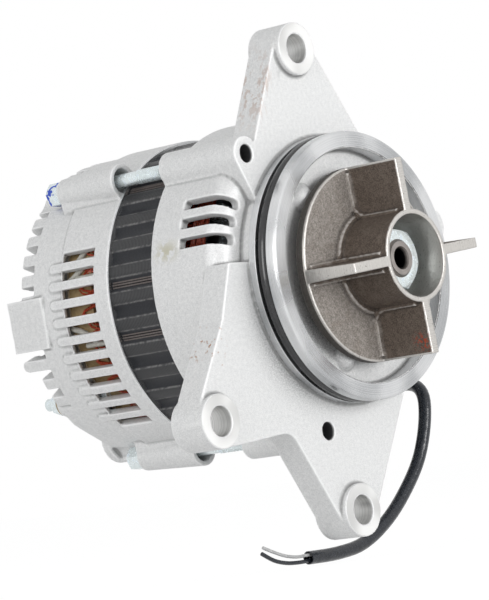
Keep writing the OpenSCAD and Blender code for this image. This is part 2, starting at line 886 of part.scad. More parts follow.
// Bar between two side slots that runs back over the wall to a round end
module side_bar() {
    w = rear_r * sin(side_slot_pitch) - side_slot_w;
    back = side_slot_back + 4.5;
    intersection() {
        rod(side_slot_back - 2, back + w, rear_r - 0.15);
        union() {
            translate([rear_r - 3, side_slot_back - 2, -w / 2])
                cube([5, back - side_slot_back + 2, w]);
            translate([rear_r - 3, back, 0]) rotate([0, 90, 0]) cylinder(h = 5, r = w / 2);
        }
    }
}

module rear_frame() {
    post_front = pos_plate_back;
    color(casting) difference() {
        union() {
            difference() {
                union() {
                    difference() {
                        rear_outside();
                        plain_wall_chamfer();
                    }
                    for (a = bolt_angles) polar(bolt_circle_r, a) {
                        cone(rear_front + ledge, bolt_seat, bolt_boss_r, seat_boss_r);
                        slab(rear_front + ledge, bolt_seat) boss_flank_outline(seat_boss_r);
                    }
                    turn(block_angle) translate([rear_r - block_depth, block_front, -block_w / 2])
                        cube([block_depth - 0.6, block_back - block_front, block_w]);
                    polar(lobe_at_r, lobe_angle) rod(bolt_seat - 6, lobe_back, lobe_r);
                    turn(guard_angle) guard_finger();
                    for (run = side_slot_runs, i = [0 : run[1] - 2])
                        turn(run[0] + (i + 0.5) * side_slot_pitch) side_bar();
                }
                rear_hollow();
                for (a = fin_gap_angles)
                    turn(a) slab(fin_root - ledge, rear_end + over) fin_gap_outline();
            }
            ring(rear_brg_front, rear_plate_front + over, rear_housing_r, rear_brg_r - over);
            polar(stud_at_r, stud_angle) rod(pos_plate_back + over, rear_end, stud_pad_r);
            for (a = rect_screw_angles)
                polar(rect_screw_r, a) rod(post_front, fin_root + 2, post_r);
            for (a = reg_screw_angles)
                polar(reg_screw_r, a) rod(reg_back, fin_root + 2, post_r);
            for (x = [-holder_ear_x, holder_ear_x]) translate([x, 0, holder_ear_z])
                rod(holder_back, fin_root + 2, post_r);
        }
        rod(rear_brg_front - over, rear_brg_back, rear_brg_r + seat);
        for (a = bolt_angles) polar(bolt_circle_r, a) {
            rod(rear_front - over, bolt_seat + over, bolt_d / 2 + air_gap);
            rod(rear_front - over, rear_front + 16, bolt_d / 2 + 1.9);
            rod(bolt_seat, rear_end + over, bolt_washer_d / 2 + bolt_head_room);
        }
        for (run = side_slot_runs, i = [0 : run[1] - 1])
            turn(run[0] + i * side_slot_pitch) side_slot();
        polar(stud_at_r, stud_angle) {
            rod(pos_plate_front - stud_head_t - air_gap, pos_plate_back + air_gap, stud_room_r);
            rod(pos_plate_back, rear_end + over, stud_bush_r + seat);
        }
        for (a = rect_screw_angles) polar(rect_screw_r, a)
            rod(post_front - over, post_front + 7, small_screw_r + seat);
        for (a = reg_screw_angles) polar(reg_screw_r, a)
            rod(reg_back - over, reg_back + 7, small_screw_r + seat);
        for (x = [-holder_ear_x, holder_ear_x]) translate([x, 0, holder_ear_z])
            rod(holder_back - over, holder_back + 7, small_screw_r + seat);
        turn(grommet_angle) translate([rear_r - 10, grommet_y, 0]) rotate([0, 90, 0])
            cylinder(h = 20, r = grommet_r + seat);
    }
}

module rear_bearing_outer_race() {
    color(steel) outer_race(rear_brg_front, rear_brg_w, rear_brg_r, rear_pitch_r, rear_ball_d);
}

module rear_bearing_inner_race() {
    color(steel) inner_race(rear_brg_front, rear_brg_w, rear_journal_r, rear_pitch_r, rear_ball_d);
}

module rear_bearing_balls() {
    color(machined) balls(rear_brg_mid, rear_pitch_r, rear_ball_d, rear_balls);
}

module rear_bearing_cage() {
    color(steel) cage(rear_brg_mid, rear_pitch_r, rear_ball_d, rear_balls);
}

module through_bolts() {
    color(zinc) for (a = bolt_angles) polar(bolt_circle_r, a) {
        rod(bolt_tip, bolt_seat + over, bolt_d / 2);
        rod(bolt_seat, bolt_seat + 1, bolt_washer_d / 2);
        slab(bolt_seat + 0.5, bolt_seat + bolt_head_h) hexagon(bolt_af);
    }
}

// Rectifier plate with a hole for each screw and each of its own diodes
module rectifier_plate(y0, t, r_out, diode_angles) {
    slab(y0, y0 + t) difference() {
        sector_outline(r_out, rect_in_r, rect_from, rect_to);
        for (a = rect_screw_angles) translate(rect_screw_r * dir(a)) circle(small_screw_r + seat);
        for (a = diode_angles) translate(diode_at_r * dir(a)) circle(diode_r + seat);
    }
}

neg_diode_angles = [144, 176, 240];
pos_diode_angles = [160, 208, 224];

module rectifier_negative_plate() {
    color(machined)
        rectifier_plate(neg_plate_front, neg_plate_t, rect_block_in_r - air_gap, neg_diode_angles);
}

module rectifier_positive_plate() {
    color(machined)
        difference() {
            rectifier_plate(pos_plate_front, pos_plate_t, rear_in_r - 1.5, pos_diode_angles);
            polar(stud_at_r, stud_angle)
                rod(pos_plate_front - over, pos_plate_back + over, stud_r + seat);
        }
}

module rectifier_diodes() {
    color(steel) {
        for (a = neg_diode_angles) polar(diode_at_r, a) {
            rod(neg_plate_front - diode_h + neg_plate_t, neg_plate_front + neg_plate_t, diode_r);
            rod(rear_fan_back + 2 * air_gap, neg_plate_front, diode_lead_r);
        }
        for (a = pos_diode_angles) polar(diode_at_r, a) {
            rod(pos_plate_front, pos_plate_front + diode_h, diode_r);
            rod(pos_plate_front - diode_lead, pos_plate_front + over, diode_lead_r);
        }
    }
}

module rectifier_spacers() {
    color(tan_plastic) for (a = rect_screw_angles) polar(rect_screw_r, a)
        ring(neg_plate_front + neg_plate_t, pos_plate_front, post_r, small_screw_r + seat);
}

module rectifier_screws() {
    color(zinc) for (a = rect_screw_angles) polar(rect_screw_r, a) {
        rod(neg_plate_front - over, pos_plate_back + 6, small_screw_r);
        rod(neg_plate_front - small_head_h, neg_plate_front, small_head_r);
    }
}

module rectifier_terminal_block() {
    color(tan_plastic) difference() {
        slab(rect_block_front, rect_block_back)
            sector_outline(rect_block_out_r, rect_block_in_r, rect_from + 12, rect_to - 12);
        polar(stud_at_r, stud_angle)
            rod(rect_block_back - stud_head_t - air_gap, rect_block_back + over, stud_pad_r);
    }
}

// One brush channel, open at the bottom and closed above by the cap
module brush_channel(y_mid, clear) {
    w = brush_w + 2 * clear;
    t = brush_t + 2 * clear;
    translate([-w / 2, y_mid - t / 2, 0]) cube([w, t, spring_top]);
}

module brush_holder() {
    color(dark) difference() {
        union() {
            translate([-holder_w / 2, holder_front, holder_low])
                cube([holder_w, holder_back - holder_front, spring_top - holder_low]);
            slab(holder_back - holder_ear_t, holder_back) {
                translate([-holder_ear_x, holder_ear_z - post_r])
                    square([2 * holder_ear_x, 2 * post_r]);
                for (x = [-holder_ear_x, holder_ear_x]) translate([x, holder_ear_z]) circle(post_r);
            }
        }
        for (y = brush_mid) brush_channel(y, slide_clear);
        for (x = [-holder_ear_x, holder_ear_x]) translate([x, 0, holder_ear_z])
            rod(holder_front - over, holder_back + over, small_screw_r + seat);
    }
}

module brush_holder_cap() {
    color(dark) translate([-holder_w / 2, holder_front, spring_top])
        cube([holder_w, holder_back - holder_front, holder_cap_t]);
}

module brush_holder_screws() {
    front = holder_back - holder_ear_t;
    color(zinc) for (x = [-holder_ear_x, holder_ear_x]) translate([x, 0, holder_ear_z]) {
        rod(front - over, holder_back + 6, small_screw_r);
        rod(front - small_head_h, front, small_head_r);
    }
}

// Carbon brush, hollowed at its foot to the slip ring
module brush(y_mid) {
    color([0.25, 0.25, 0.26]) difference() {
        translate([-brush_w / 2, y_mid - brush_t / 2, brush_low - 0.4])
            cube([brush_w, brush_t, brush_top - brush_low + 0.4]);
        rod(y_mid - brush_t, y_mid + brush_t, brush_low);
    }
}

module brush_1() {
    brush(brush_mid[0]);
}

module brush_2() {
    brush(brush_mid[1]);
}

// Coil spring as one swept tube
module brush_spring(y_mid) {
    sides = 6;
    steps = 10;
    rings = spring_turns * steps;
    low = brush_top + air_gap + spring_wire_r;
    high = spring_top - air_gap - spring_wire_r;
    path = [for (i = [0 : rings])
        let (a = 360 * i / steps)
        [spring_r * cos(a), y_mid + spring_r * sin(a), low + (high - low) * i / rings]];
    color(steel) tube_along(path, spring_wire_r, sides);
}

module brush_spring_1() {
    brush_spring(brush_mid[0]);
}

module brush_spring_2() {
    brush_spring(brush_mid[1]);
}

module voltage_regulator() {
    color(dark) slab(reg_front, reg_back) difference() {
        sector_outline(reg_out_r, reg_in_r, reg_from, reg_to);
        for (a = reg_screw_angles) translate(reg_screw_r * dir(a)) circle(small_screw_r + seat);
    }
}

module regulator_screws() {
    color(zinc) for (a = reg_screw_angles) polar(reg_screw_r, a) {
        rod(reg_front - over, reg_back + 6, small_screw_r);
        rod(reg_front - small_head_h, reg_front, small_head_r);
    }
}

module output_stud() {
    color(zinc) polar(stud_at_r, stud_angle) {
        rod(pos_plate_front - over, stud_end_from, stud_r);
        rod(stud_end_from - over, stud_tip, stud_end_r);
        slab(pos_plate_front - stud_head_t, pos_plate_front) hexagon(stud_head_af);
    }
}

module output_insulator() {
    color(tan_plastic) polar(stud_at_r, stud_angle) {
        ring(pos_plate_back, rear_end, stud_bush_r, stud_r + seat);
        ring(rear_end, rear_end + bush_flange_t, stud_pad_r - 0.6, stud_r + seat);
    }
}

module output_nut() {
    color(zinc) polar(stud_at_r, stud_angle) slab(rear_end + bush_flange_t, nut_outer)
        difference() {
            hexagon(output_nut_af);
            circle(stud_r + seat);
        }
}

module harness_grommet() {
    color(dark) turn(grommet_angle) translate([0, grommet_y, 0]) rotate([0, 90, 0]) {
        translate([0, 0, rear_in_r - 2]) cylinder(h = grommet_face_r - rear_in_r, r = grommet_r);
        translate([0, 0, rear_r + seat])
            cylinder(h = grommet_face_r - rear_r - seat, r = grommet_flange_r);
    }
}

// Unit vector
function unit(v) = v / norm(v);

// A direction that no cord or spring runs along
side_hint = [0.31, 0.2, 0.93];

// Direction of a path at point i
function heading(path, i) =
    unit(path[min(i + 1, len(path) - 1)] - path[max(i - 1, 0)]);

// Tube of radius r along a path, with flat ends
module tube_along(path, r, sides) {
    n = len(path);
    points = [for (i = [0 : n - 1])
        let (d = heading(path, i), u = unit(cross(d, side_hint)), v = cross(d, u))
        for (k = [0 : sides - 1]) path[i] + r * (u * cos(360 * k / sides) + v * sin(360 * k / sides))];
    walls = [for (i = [0 : n - 2], k = [0 : sides - 1])
        let (
            a = i * sides + k, b = i * sides + (k + 1) % sides,
            c = (i + 1) * sides + (k + 1) % sides, d = (i + 1) * sides + k
        )
        for (triangle = [[a, b, c], [a, c, d]]) triangle];
    caps = [[for (k = [0 : sides - 1]) sides - 1 - k], [for (k = [0 : sides - 1]) (n - 1) * sides + k]];
    polyhedron(points, concat(walls, caps));
}

// Point on a smooth curve through four neighbouring route points
function between(p0, p1, p2, p3, t) =
    0.5 * (2 * p1 + (p2 - p0) * t + (2 * p0 - 5 * p1 + 4 * p2 - p3) * t * t
        + (3 * p1 - p0 - 3 * p2 + p3) * t * t * t);

// Smooth path through route points, with a number of steps per span
function smooth(route, steps) = [
    for (i = [0 : len(route) - 2], s = [0 : steps - 1])
        between(
            route[max(i - 1, 0)], route[i], route[i + 1], route[min(i + 2, len(route) - 1)],
            s / steps
        ),
    route[len(route) - 1]
];

module harness_sleeve() {
    color(dark) tube_along(smooth(sleeve_route, 2), sleeve_r, 10);
}

module harness_wire_1() {
    color([0.9, 0.9, 0.9]) tube_along(smooth(wire_route_1, 2), wire_r, 8);
}

module harness_wire_2() {
    color(dark) tube_along(smooth(wire_route_2, 2), wire_r, 8);
}

module rotor_shaft() {
    shoulder_front = pole_front - fan_t;
    shoulder_back = pole_back + fan_t;
    color(steel) difference() {
        turned() polygon([
            [0, shaft_tip], [thread_r - 1, shaft_tip], [thread_r, shaft_tip + 1],
            [thread_r, nut_back], [front_journal_r - seat, nut_back],
            [front_journal_r - seat, shoulder_front], [shaft_r, shoulder_front],
            [shaft_r, shoulder_back], [sleeve_in_r, shoulder_back],
            [sleeve_in_r, rear_brg_front], [rear_journal_r - seat, rear_brg_front],
            [rear_journal_r - seat, rear_brg_back - 1],
            [rear_journal_r - 1, rear_brg_back], [0, rear_brg_back]
        ]);
        rod(shaft_tip - over, shaft_tip + centre_hole_depth, centre_hole_r);
        turned() polygon([
            [0, shaft_tip - 0.01], [centre_hole_r + 1.2, shaft_tip - 0.01],
            [0, shaft_tip + centre_hole_r + 1.2]
        ]);
        translate([key_low, key_from, -key_w / 2 - seat])
            cube([key_high, key_to - key_from, key_w + 2 * seat]);
    }
}

module shaft_key() {
    color(steel) translate([key_low + seat, key_from + seat, -key_w / 2])
        cube([key_high - key_low - seat, key_to - key_from - 2 * seat, key_w]);
}

// One claw drawn for the front pole: a lobe of the disc that reaches back over the coil
module claw() {
    half_root = claw_root_w / 2;
    half_tip = claw_tip_w / 2;
    bend = pole_front + claw_straight;
    tip = pole_front + claw_reach;
    intersection() {
        rod(pole_front, tip, rotor_r);
        union() {
            translate([pole_core_r, pole_front, -half_root])
                cube([rotor_r, pole_disc_t, claw_root_w]);
            translate([claw_in_r, 0, 0]) rotate([90, 0, 90]) linear_extrude(claw_t + over) polygon([
                [pole_front, -half_root], [bend, -half_root], [tip, -half_tip],
                [tip, half_tip], [bend, half_root], [pole_front, half_root]
            ]);
        }
    }
}

// Pole piece drawn for the front: disc, half of the core and six claws
module pole_piece() {
    difference() {
        union() {
            rod(pole_front, pole_front + pole_disc_t, pole_root_r);
            rod(pole_front, rotor_mid, pole_core_r);
            for (i = [0 : claw_count - 1]) turn(i * 360 / claw_count) claw();
        }
        rod(pole_front - over, rotor_mid + over, shaft_r + seat);
    }
}

module rotor_pole_front() {
    color(steel) pole_piece();
}

module rotor_pole_rear() {
    color(steel) translate([0, 2 * rotor_mid, 0]) mirror([0, 1, 0])
        turn(180 / claw_count) pole_piece();
}

module coil_bobbin() {
    y0 = pole_front + pole_disc_t + seat;
    y1 = pole_back - pole_disc_t - seat;
    color(tan_plastic) {
        ring(y0, y1, pole_core_r + seat + bobbin_t, pole_core_r + seat);
        ring(y0, y0 + bobbin_t, bobbin_r, pole_core_r + seat);
        ring(y1 - bobbin_t, y1, bobbin_r, pole_core_r + seat);
    }
}

module field_coil() {
    y0 = pole_front + pole_disc_t + bobbin_t + 2 * seat;
    y1 = pole_back - pole_disc_t - bobbin_t - 2 * seat;
    color(copper) ring(y0, y1, bobbin_r - 1, pole_core_r + bobbin_t + 2 * seat);
}

// Pressed fan: a plate and leaning blades that point forward from it
module fan(blade_h, bore_r) {
    ring(0, fan_t, fan_d / 2 - 6, bore_r + seat);
    for (i = [0 : fan_blades - 1]) turn(i * 360 / fan_blades) {
        intersection() {
            ring(-blade_h, fan_t, fan_d / 2, fan_in_r);
            translate([fan_in_r + 3, -blade_h, 0]) rotate([0, -blade_lean, 0])
                translate([-8, 0, 0]) cube([fan_d / 2, blade_h + fan_t, blade_t]);
        }
        intersection() {
            ring(0, fan_t, fan_d / 2, fan_in_r);
            translate([fan_in_r + 3, 0, 0]) rotate([0, -blade_lean, 0])
                translate([-8, 0, -6]) cube([fan_d / 2, fan_t, 6 + blade_t]);
        }
    }
}

module front_fan() {
    color(zinc) translate([0, pole_front - fan_t, 0]) fan(front_blade_h, shaft_r);
}

module rear_fan() {
    color(zinc) translate([0, pole_back + fan_t, 0]) mirror([0, 1, 0]) fan(rear_blade_h, shaft_r);
}

module shaft_spacer() {
    color(steel) ring(front_brg_back, pole_front - fan_t, spacer_r, front_journal_r);
}

module slip_ring_sleeve() {
    color(dark) ring(slip_front - 1, slip_front + 2 * slip_w + slip_gap + 1,
        sleeve_in_r + 1.2, sleeve_in_r + seat);
}

module slip_rings() {
    color([0.72, 0.45, 0.2]) for (i = [0, 1]) {
        y = slip_front + i * (slip_w + slip_gap);
        ring(y, y + slip_w, slip_r, sleeve_in_r + 1.2 + seat);
    }
}

// One vane of the coupling, thicker at the disc than at its tip
module vane() {
    translate([cup_r - 1, 0, 0]) rotate([90, 0, 90]) linear_extrude(coupling_r)
        polygon([
            [disc_front + 0.5, -vane_root_t / 2], [vane_tip, -vane_tip_t / 2],
            [vane_tip, vane_tip_t / 2], [disc_front + 0.5, vane_root_t / 2]
        ]);
}

module drive_coupling() {
    fillet = 2.4;
    color(iron) turn(coupling_angle) difference() {
        union() {
            rod(disc_front, disc_back, coupling_r);
            rod(vane_tip, disc_back, cup_r);
            rod(disc_back - over, front_brg_front, hub_boss_r);
            turned() difference() {
                translate([0, disc_front - fillet])
                    square([cup_r + fillet, fillet + 0.5]);
                translate([cup_r + fillet, disc_front - fillet]) circle(fillet);
            }
            intersection() {
                rod(vane_tip, disc_back, coupling_r);
                for (i = [0 : 3]) turn(i * 90) vane();
            }
        }
        rod(vane_tip - over, cup_floor, cup_bore_r);
        rod(cup_floor - over, front_brg_front + over, front_journal_r);
        turn(-coupling_angle) translate([0, key_from, -key_w / 2 - seat])
            cube([key_high + seat, front_brg_front - key_from + over, key_w + 2 * seat]);
    }
}

module coupling_washer() {
    color(zinc) ring(nut_back, cup_floor, washer_r, front_journal_r + seat);
}

module coupling_nut() {
    cone = 0.6 * nut_af;
    color(zinc) difference() {
        intersection() {
            slab(nut_front, nut_back) hexagon(nut_af);
            turned() polygon([
                [0, nut_front], [nut_af / 2 - 0.3, nut_front], [cone, nut_front + 1.4],
                [cone, nut_back], [0, nut_back]
            ]);
        }
        rod(nut_front - over, nut_back + over, thread_r + seat);
    }
}

front_frame();
pilot_o_ring();
front_bearing_outer_race();
front_bearing_inner_race();
front_bearing_balls();
front_bearing_cage();
bearing_retainer_plate();
retainer_screws();
stator_core();
stator_winding();
slot_wedges();
stator_leads();
rear_frame();
rear_bearing_outer_race();
rear_bearing_inner_race();
rear_bearing_balls();
rear_bearing_cage();
through_bolts();
rectifier_negative_plate();
rectifier_positive_plate();
rectifier_diodes();
rectifier_spacers();
rectifier_screws();
rectifier_terminal_block();
brush_holder();
brush_holder_cap();
brush_holder_screws();
brush_1();
brush_2();
brush_spring_1();
brush_spring_2();
voltage_regulator();
regulator_screws();
output_stud();
output_insulator();
output_nut();
harness_grommet();
harness_sleeve();
harness_wire_1();
harness_wire_2();
rotor_shaft();
rotor_pole_front();
rotor_pole_rear();
coil_bobbin();
field_coil();
front_fan();
rear_fan();
shaft_spacer();
slip_ring_sleeve();
slip_rings();
drive_coupling();
coupling_washer();
coupling_nut();
shaft_key();
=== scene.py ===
# %% [markdown]
# # An alternator with a vaned drive coupling
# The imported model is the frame: every CAD node arrives at its own place, in metres, with the
# drive end towards -Y and +Z up. This lesson gives each node its real finish, models what the
# solids leave plain, and sets up the photograph's view.

# %% Load the frame
from math import cos, pi, radians, sin, sqrt
import bpy
from mathutils import Matrix, Vector


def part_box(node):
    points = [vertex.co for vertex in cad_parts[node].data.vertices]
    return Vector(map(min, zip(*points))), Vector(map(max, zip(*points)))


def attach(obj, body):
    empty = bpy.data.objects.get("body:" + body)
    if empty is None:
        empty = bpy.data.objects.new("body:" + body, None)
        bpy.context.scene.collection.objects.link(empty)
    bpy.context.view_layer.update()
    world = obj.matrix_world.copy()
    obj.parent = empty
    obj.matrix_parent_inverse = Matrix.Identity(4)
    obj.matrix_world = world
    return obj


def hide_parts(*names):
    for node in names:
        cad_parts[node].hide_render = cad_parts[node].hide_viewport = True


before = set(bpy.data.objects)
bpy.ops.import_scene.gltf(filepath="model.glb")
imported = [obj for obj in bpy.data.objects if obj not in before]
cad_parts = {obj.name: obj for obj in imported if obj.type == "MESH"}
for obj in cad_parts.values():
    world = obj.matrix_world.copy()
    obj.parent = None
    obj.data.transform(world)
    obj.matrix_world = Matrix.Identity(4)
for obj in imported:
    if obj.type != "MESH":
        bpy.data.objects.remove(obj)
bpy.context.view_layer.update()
MM = 0.001
print("nodes:", len(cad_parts))

# %% [markdown]
# ## Places that several pieces share
# The bolts, the ears and the core's slots are used more than once below, so their places are
# written here: distances from the axis in millimetres, and angles in degrees, counter-clockwise
# as seen from the drive end.

# %% Shared places
BOLT_CIRCLE, BOLT_ANGLES = 58.5, (134, 253, 13.5)
EARS = ((79, 96.8), (88.3, 213.2), (85, 265.3))
SLOTS, SLOT_PITCH = 36, 10


def polar(radius, angle):
    return radius * cos(radians(angle)), radius * sin(radians(angle))


def spot_at(radius, angle, station):
    """A point in metres, from its distance, its angle and its station along the axis."""
    x, z = polar(radius, angle)
    return Vector((x, station, z)) * MM


print("bolts:", len(BOLT_ANGLES), "ears:", len(EARS), "slots:", SLOTS)

# %% [markdown]
# ## The camera
# The view was fitted to the pilot circles, the coupling and the ears. The camera stands a little
# below the object and looks slightly up, from the front left, through a long lens.

# %% Camera
camera_data = bpy.data.cameras.new("photo_camera")
camera = bpy.data.objects.new("photo_camera", camera_data)
bpy.context.scene.collection.objects.link(camera)
camera_right = Vector((0.66265, -0.73701, -0.13308))
camera_up = Vector((0.05216, -0.13184, 0.98990))
camera_back = Vector((-0.74711, -0.66290, -0.04892))
camera_place = Vector((-0.8818, -0.7364, -0.0657))
camera_turn = Matrix((camera_right, camera_up, camera_back)).transposed()
camera.matrix_world = Matrix.Translation(camera_place) @ camera_turn.to_4x4()
camera_data.lens = 195.96
camera_data.sensor_width = 36
camera_data.shift_x = -0.0013
camera_data.shift_y = 0.0151
camera_data.clip_start = 0.05
camera_data.clip_end = 20
bpy.context.scene.camera = camera
print("camera at", [round(v, 3) for v in camera.location])

# %% [markdown]
# ## Helpers
# Every new piece is made with the modelling operators, so each step starts from a clean
# selection.

# %% Selection and modifier helpers
def clear_selection():
    if bpy.context.object and bpy.context.object.mode != "OBJECT":
        bpy.ops.object.mode_set(mode="OBJECT")
    bpy.ops.object.select_all(action="DESELECT")


def edit_all():
    bpy.ops.object.mode_set(mode="EDIT")
    bpy.ops.mesh.select_all(action="SELECT")


def pick(piece):
    clear_selection()
    piece.select_set(True)
    bpy.context.view_layer.objects.active = piece


def settle(piece):
    """Leaves the piece at the origin, with its place in its mesh."""
    pick(piece)
    bpy.ops.object.transform_apply(location=True, rotation=True, scale=True)
    return piece


def modify(piece, kind, **values):
    """Adds one modifier with these values and applies it."""
    pick(piece)
    mod = piece.modifiers.new(kind.lower(), kind)
    for key, value in values.items():
        setattr(mod, key, value)
    bpy.ops.object.modifier_apply(modifier=mod.name)
    return piece


def smooth(piece, angle=30):
    pick(piece)
    bpy.ops.object.shade_smooth_by_angle(angle=radians(angle))
    return piece


def join(pieces, name):
    clear_selection()
    for piece in pieces:
        piece.select_set(True)
    bpy.context.view_layer.objects.active = pieces[0]
    bpy.ops.object.join()
    pieces[0].name = name
    return pieces[0]

# %% [markdown]
# ## Shader building blocks
# A material is a small network of nodes, which could be linked by hand in the shader editor. Here
# a helper adds a node, feeds its inputs and returns its output, so that each finish reads like a
# recipe. A socket knows its network, so most helpers find it from what they are given.

# %% Node helpers
def feed(socket, value):
    """Links a socket, or gives it a value. For a colour, one number is a grey."""
    if isinstance(value, bpy.types.NodeSocket):
        socket.id_data.links.new(value, socket)
    elif socket.type == "RGBA":
        socket.default_value = (*value, 1) if isinstance(value, tuple) else (value, value, value, 1)
    else:
        socket.default_value = value


def add(tree, kind, inputs, **settings):
    """A new node, with its settings made and its inputs fed."""
    node = tree.nodes.new("ShaderNode" + kind)
    for key, value in settings.items():
        setattr(node, key, value)
    for key, value in inputs.items():
        feed(node.inputs[key], value)
    return node


def tree_of(values):
    return next(value.id_data for value in values if isinstance(value, bpy.types.NodeSocket))


def sums(kind, *values):
    return add(tree_of(values), "Math", dict(enumerate(values)), operation=kind).outputs[0]


def times(first, second):
    return sums("MULTIPLY", first, second)


def plus(first, second):
    return sums("ADD", first, second)


def minus(first, second):
    return sums("SUBTRACT", first, second)


def spread(value, low, high, to_low=0.0, to_high=1.0, soft=True):
    """Moves a value from one range to another, and holds it at both ends."""
    inputs = {"Value": value, "From Min": low, "From Max": high, "To Min": to_low,
              "To Max": to_high}
    kind = "SMOOTHSTEP" if soft else "LINEAR"
    return add(value.id_data, "MapRange", inputs, interpolation_type=kind).outputs["Result"]


def near(value, middle, reach):
    """One where the value is at the middle, falling to nothing at that reach."""
    return spread(sums("ABSOLUTE", minus(value, middle)), 0, reach, 1, 0)


def blend_colours(share, first, second):
    inputs = {"Factor": share, "A": first, "B": second}
    return add(share.id_data, "Mix", inputs, data_type="RGBA").outputs["Result"]


def noise(where, scale, detail=3.0, rough=0.55):
    inputs = {"Vector": where, "Scale": scale, "Detail": detail, "Roughness": rough}
    return add(where.id_data, "TexNoise", inputs).outputs["Fac"]


def bump(height, strength, distance_mm):
    inputs = {"Strength": strength, "Distance": distance_mm * MM, "Height": height}
    return add(height.id_data, "Bump", inputs).outputs["Normal"]

# %% [markdown]
# ## A place in the material
# A picture wrapped round a part shows seams, so every finish is worked out in the solid material,
# from each point's place in millimetres, its distance from the axis and its angle round it.

# %% Places, and a new material
def place(tree):
    """Each point's place in millimetres, and its x, y and z."""
    where = add(tree, "TexCoord", {}).outputs["Object"]
    scaled = add(tree, "VectorMath", {0: where, "Scale": 1 / MM}, operation="SCALE").outputs[0]
    return scaled, *add(tree, "SeparateXYZ", {0: scaled}).outputs


def radius_of(x, z):
    return sums("SQRT", plus(times(x, x), times(z, z)))


def angle_of(x, z):
    """Angle round the axis in degrees, counter-clockwise as seen from the drive end."""
    return sums("DEGREES", sums("ARCTAN2", z, x))


def hollow_of(tree):
    """The skin's own record of its shape: half on flat metal, less in corners, more on edges."""
    return add(tree, "Attribute", {}, attribute_name="hollow").outputs["Fac"]


def new_material(name):
    """A material with one shader, and the places that its recipe starts from."""
    material = bpy.data.materials.new(name)
    material.use_nodes = True
    tree = material.node_tree
    tree.nodes.clear()
    shader = add(tree, "BsdfPrincipled", {})
    add(tree, "OutputMaterial", {"Surface": shader.outputs["BSDF"]})
    return (material, shader, *place(tree))


def dress(shader, colour, rough, metal, normal):
    """Feeds a finish into its shader."""
    for label, value in (("Base Color", colour), ("Roughness", rough), ("Metallic", metal),
                         ("Normal", normal)):
        feed(shader.inputs[label], value)

# %% [markdown]
# ## Shared effects
# Three effects come back in several finishes: grain, turning marks and dirt. Each could be copied
# into every material, but a node group is built once, and each material sets its named inputs.

# %% Group builder
def new_group(name, inputs, outputs):
    """A group with its two ends. An input without a value is a place, and the rest are numbers."""
    group = bpy.data.node_groups.new(name, "ShaderNodeTree")
    for label, value in inputs.items():
        kind = "NodeSocketVector" if value is None else "NodeSocketFloat"
        socket = group.interface.new_socket(label, in_out="INPUT", socket_type=kind)
        if value is not None:
            socket.default_value = value
    for label in outputs:
        group.interface.new_socket(label, in_out="OUTPUT", socket_type="NodeSocketFloat")
    return group, group.nodes.new("NodeGroupInput"), group.nodes.new("NodeGroupOutput")


def use_group(group, **values):
    """Puts the group to use, and gives its outputs."""
    return add(tree_of(values.values()), "Group", values, node_tree=group).outputs

# %% [markdown]
# ## Grain
# A blasted or sand-cast skin has a fine grain on a coarser unevenness. A picture could be wrapped
# round the casting, but noise in the solid material has no seams, so two sizes of it are added.

# %% Grain of a casting
grain_group, entry, leave = new_group("casting grain", {"Where": None, "Size": 1.0},
                                      ("Height", "Tone"))
scaling = {0: entry.outputs["Where"], "Scale": entry.outputs["Size"]}
sized = add(grain_group, "VectorMath", scaling, operation="SCALE").outputs[0]
fine, coarse = noise(sized, 3.4, 2, 0.6), noise(sized, 0.8, 4, 0.6)
grains = plus(times(fine, 0.7), times(coarse, 0.3))
feed(leave.inputs["Height"], grains)
feed(leave.inputs["Tone"], grains)
print("group:", grain_group.name)

# %% [markdown]
# ## Turning marks
# A lathe tool leaves fine lines at an uneven depth. They could be modelled as grooves, but they
# are far too fine for a mesh, so one-dimensional noise along the tool's path draws them.

# %% Turning marks of a lathe
turning_group, entry, leave = new_group("turning marks", {"Along": 0.0, "Pitch": 0.2},
                                        ("Height", "Tone"))
steps = sums("DIVIDE", entry.outputs["Along"], entry.outputs["Pitch"])
lines = add(turning_group, "TexNoise", {"W": steps, "Scale": 1.0, "Detail": 3.0},
            noise_dimensions="1D").outputs["Fac"]
feed(leave.inputs["Height"], lines)
feed(leave.inputs["Tone"], spread(lines, 0.3, 0.7))
print("group:", turning_group.name)

# %% [markdown]
# ## Dirt
# Dirt gathers in soft-edged patches. Broad noise is cut off at a level, and the level falls as
# the amount of dirt goes up, so one number makes a piece cleaner or dirtier.

# %% Patches of dirt or stain
dirt_group, entry, leave = new_group("dirt patches", {"Where": None, "Amount": 0.5}, ("Mask",))
broad = noise(entry.outputs["Where"], 0.11, 5, 0.65)
edge = minus(0.85, times(entry.outputs["Amount"], 0.5))
feed(leave.inputs["Mask"], spread(broad, edge, plus(edge, 0.18)))
print("group:", dirt_group.name)

# %% [markdown]
# ## The castings
# Both castings are aluminium, blasted to an even, very light grey with a fine grain. A blasted
# skin could be a flat grey with noise, but here the edges are painted lighter, as a highlight and
# as rubbed wear, and the corners are painted darker, as shade, with faint patches of dirt. The
# skins below carry their shape as an attribute, which the recipe reads.

# %% Cast aluminium
def along_axis(where, scale):
    """The same place, squeezed or stretched along each axis."""
    return add(where.id_data, "Mapping", {"Vector": where, "Scale": scale}).outputs[0]


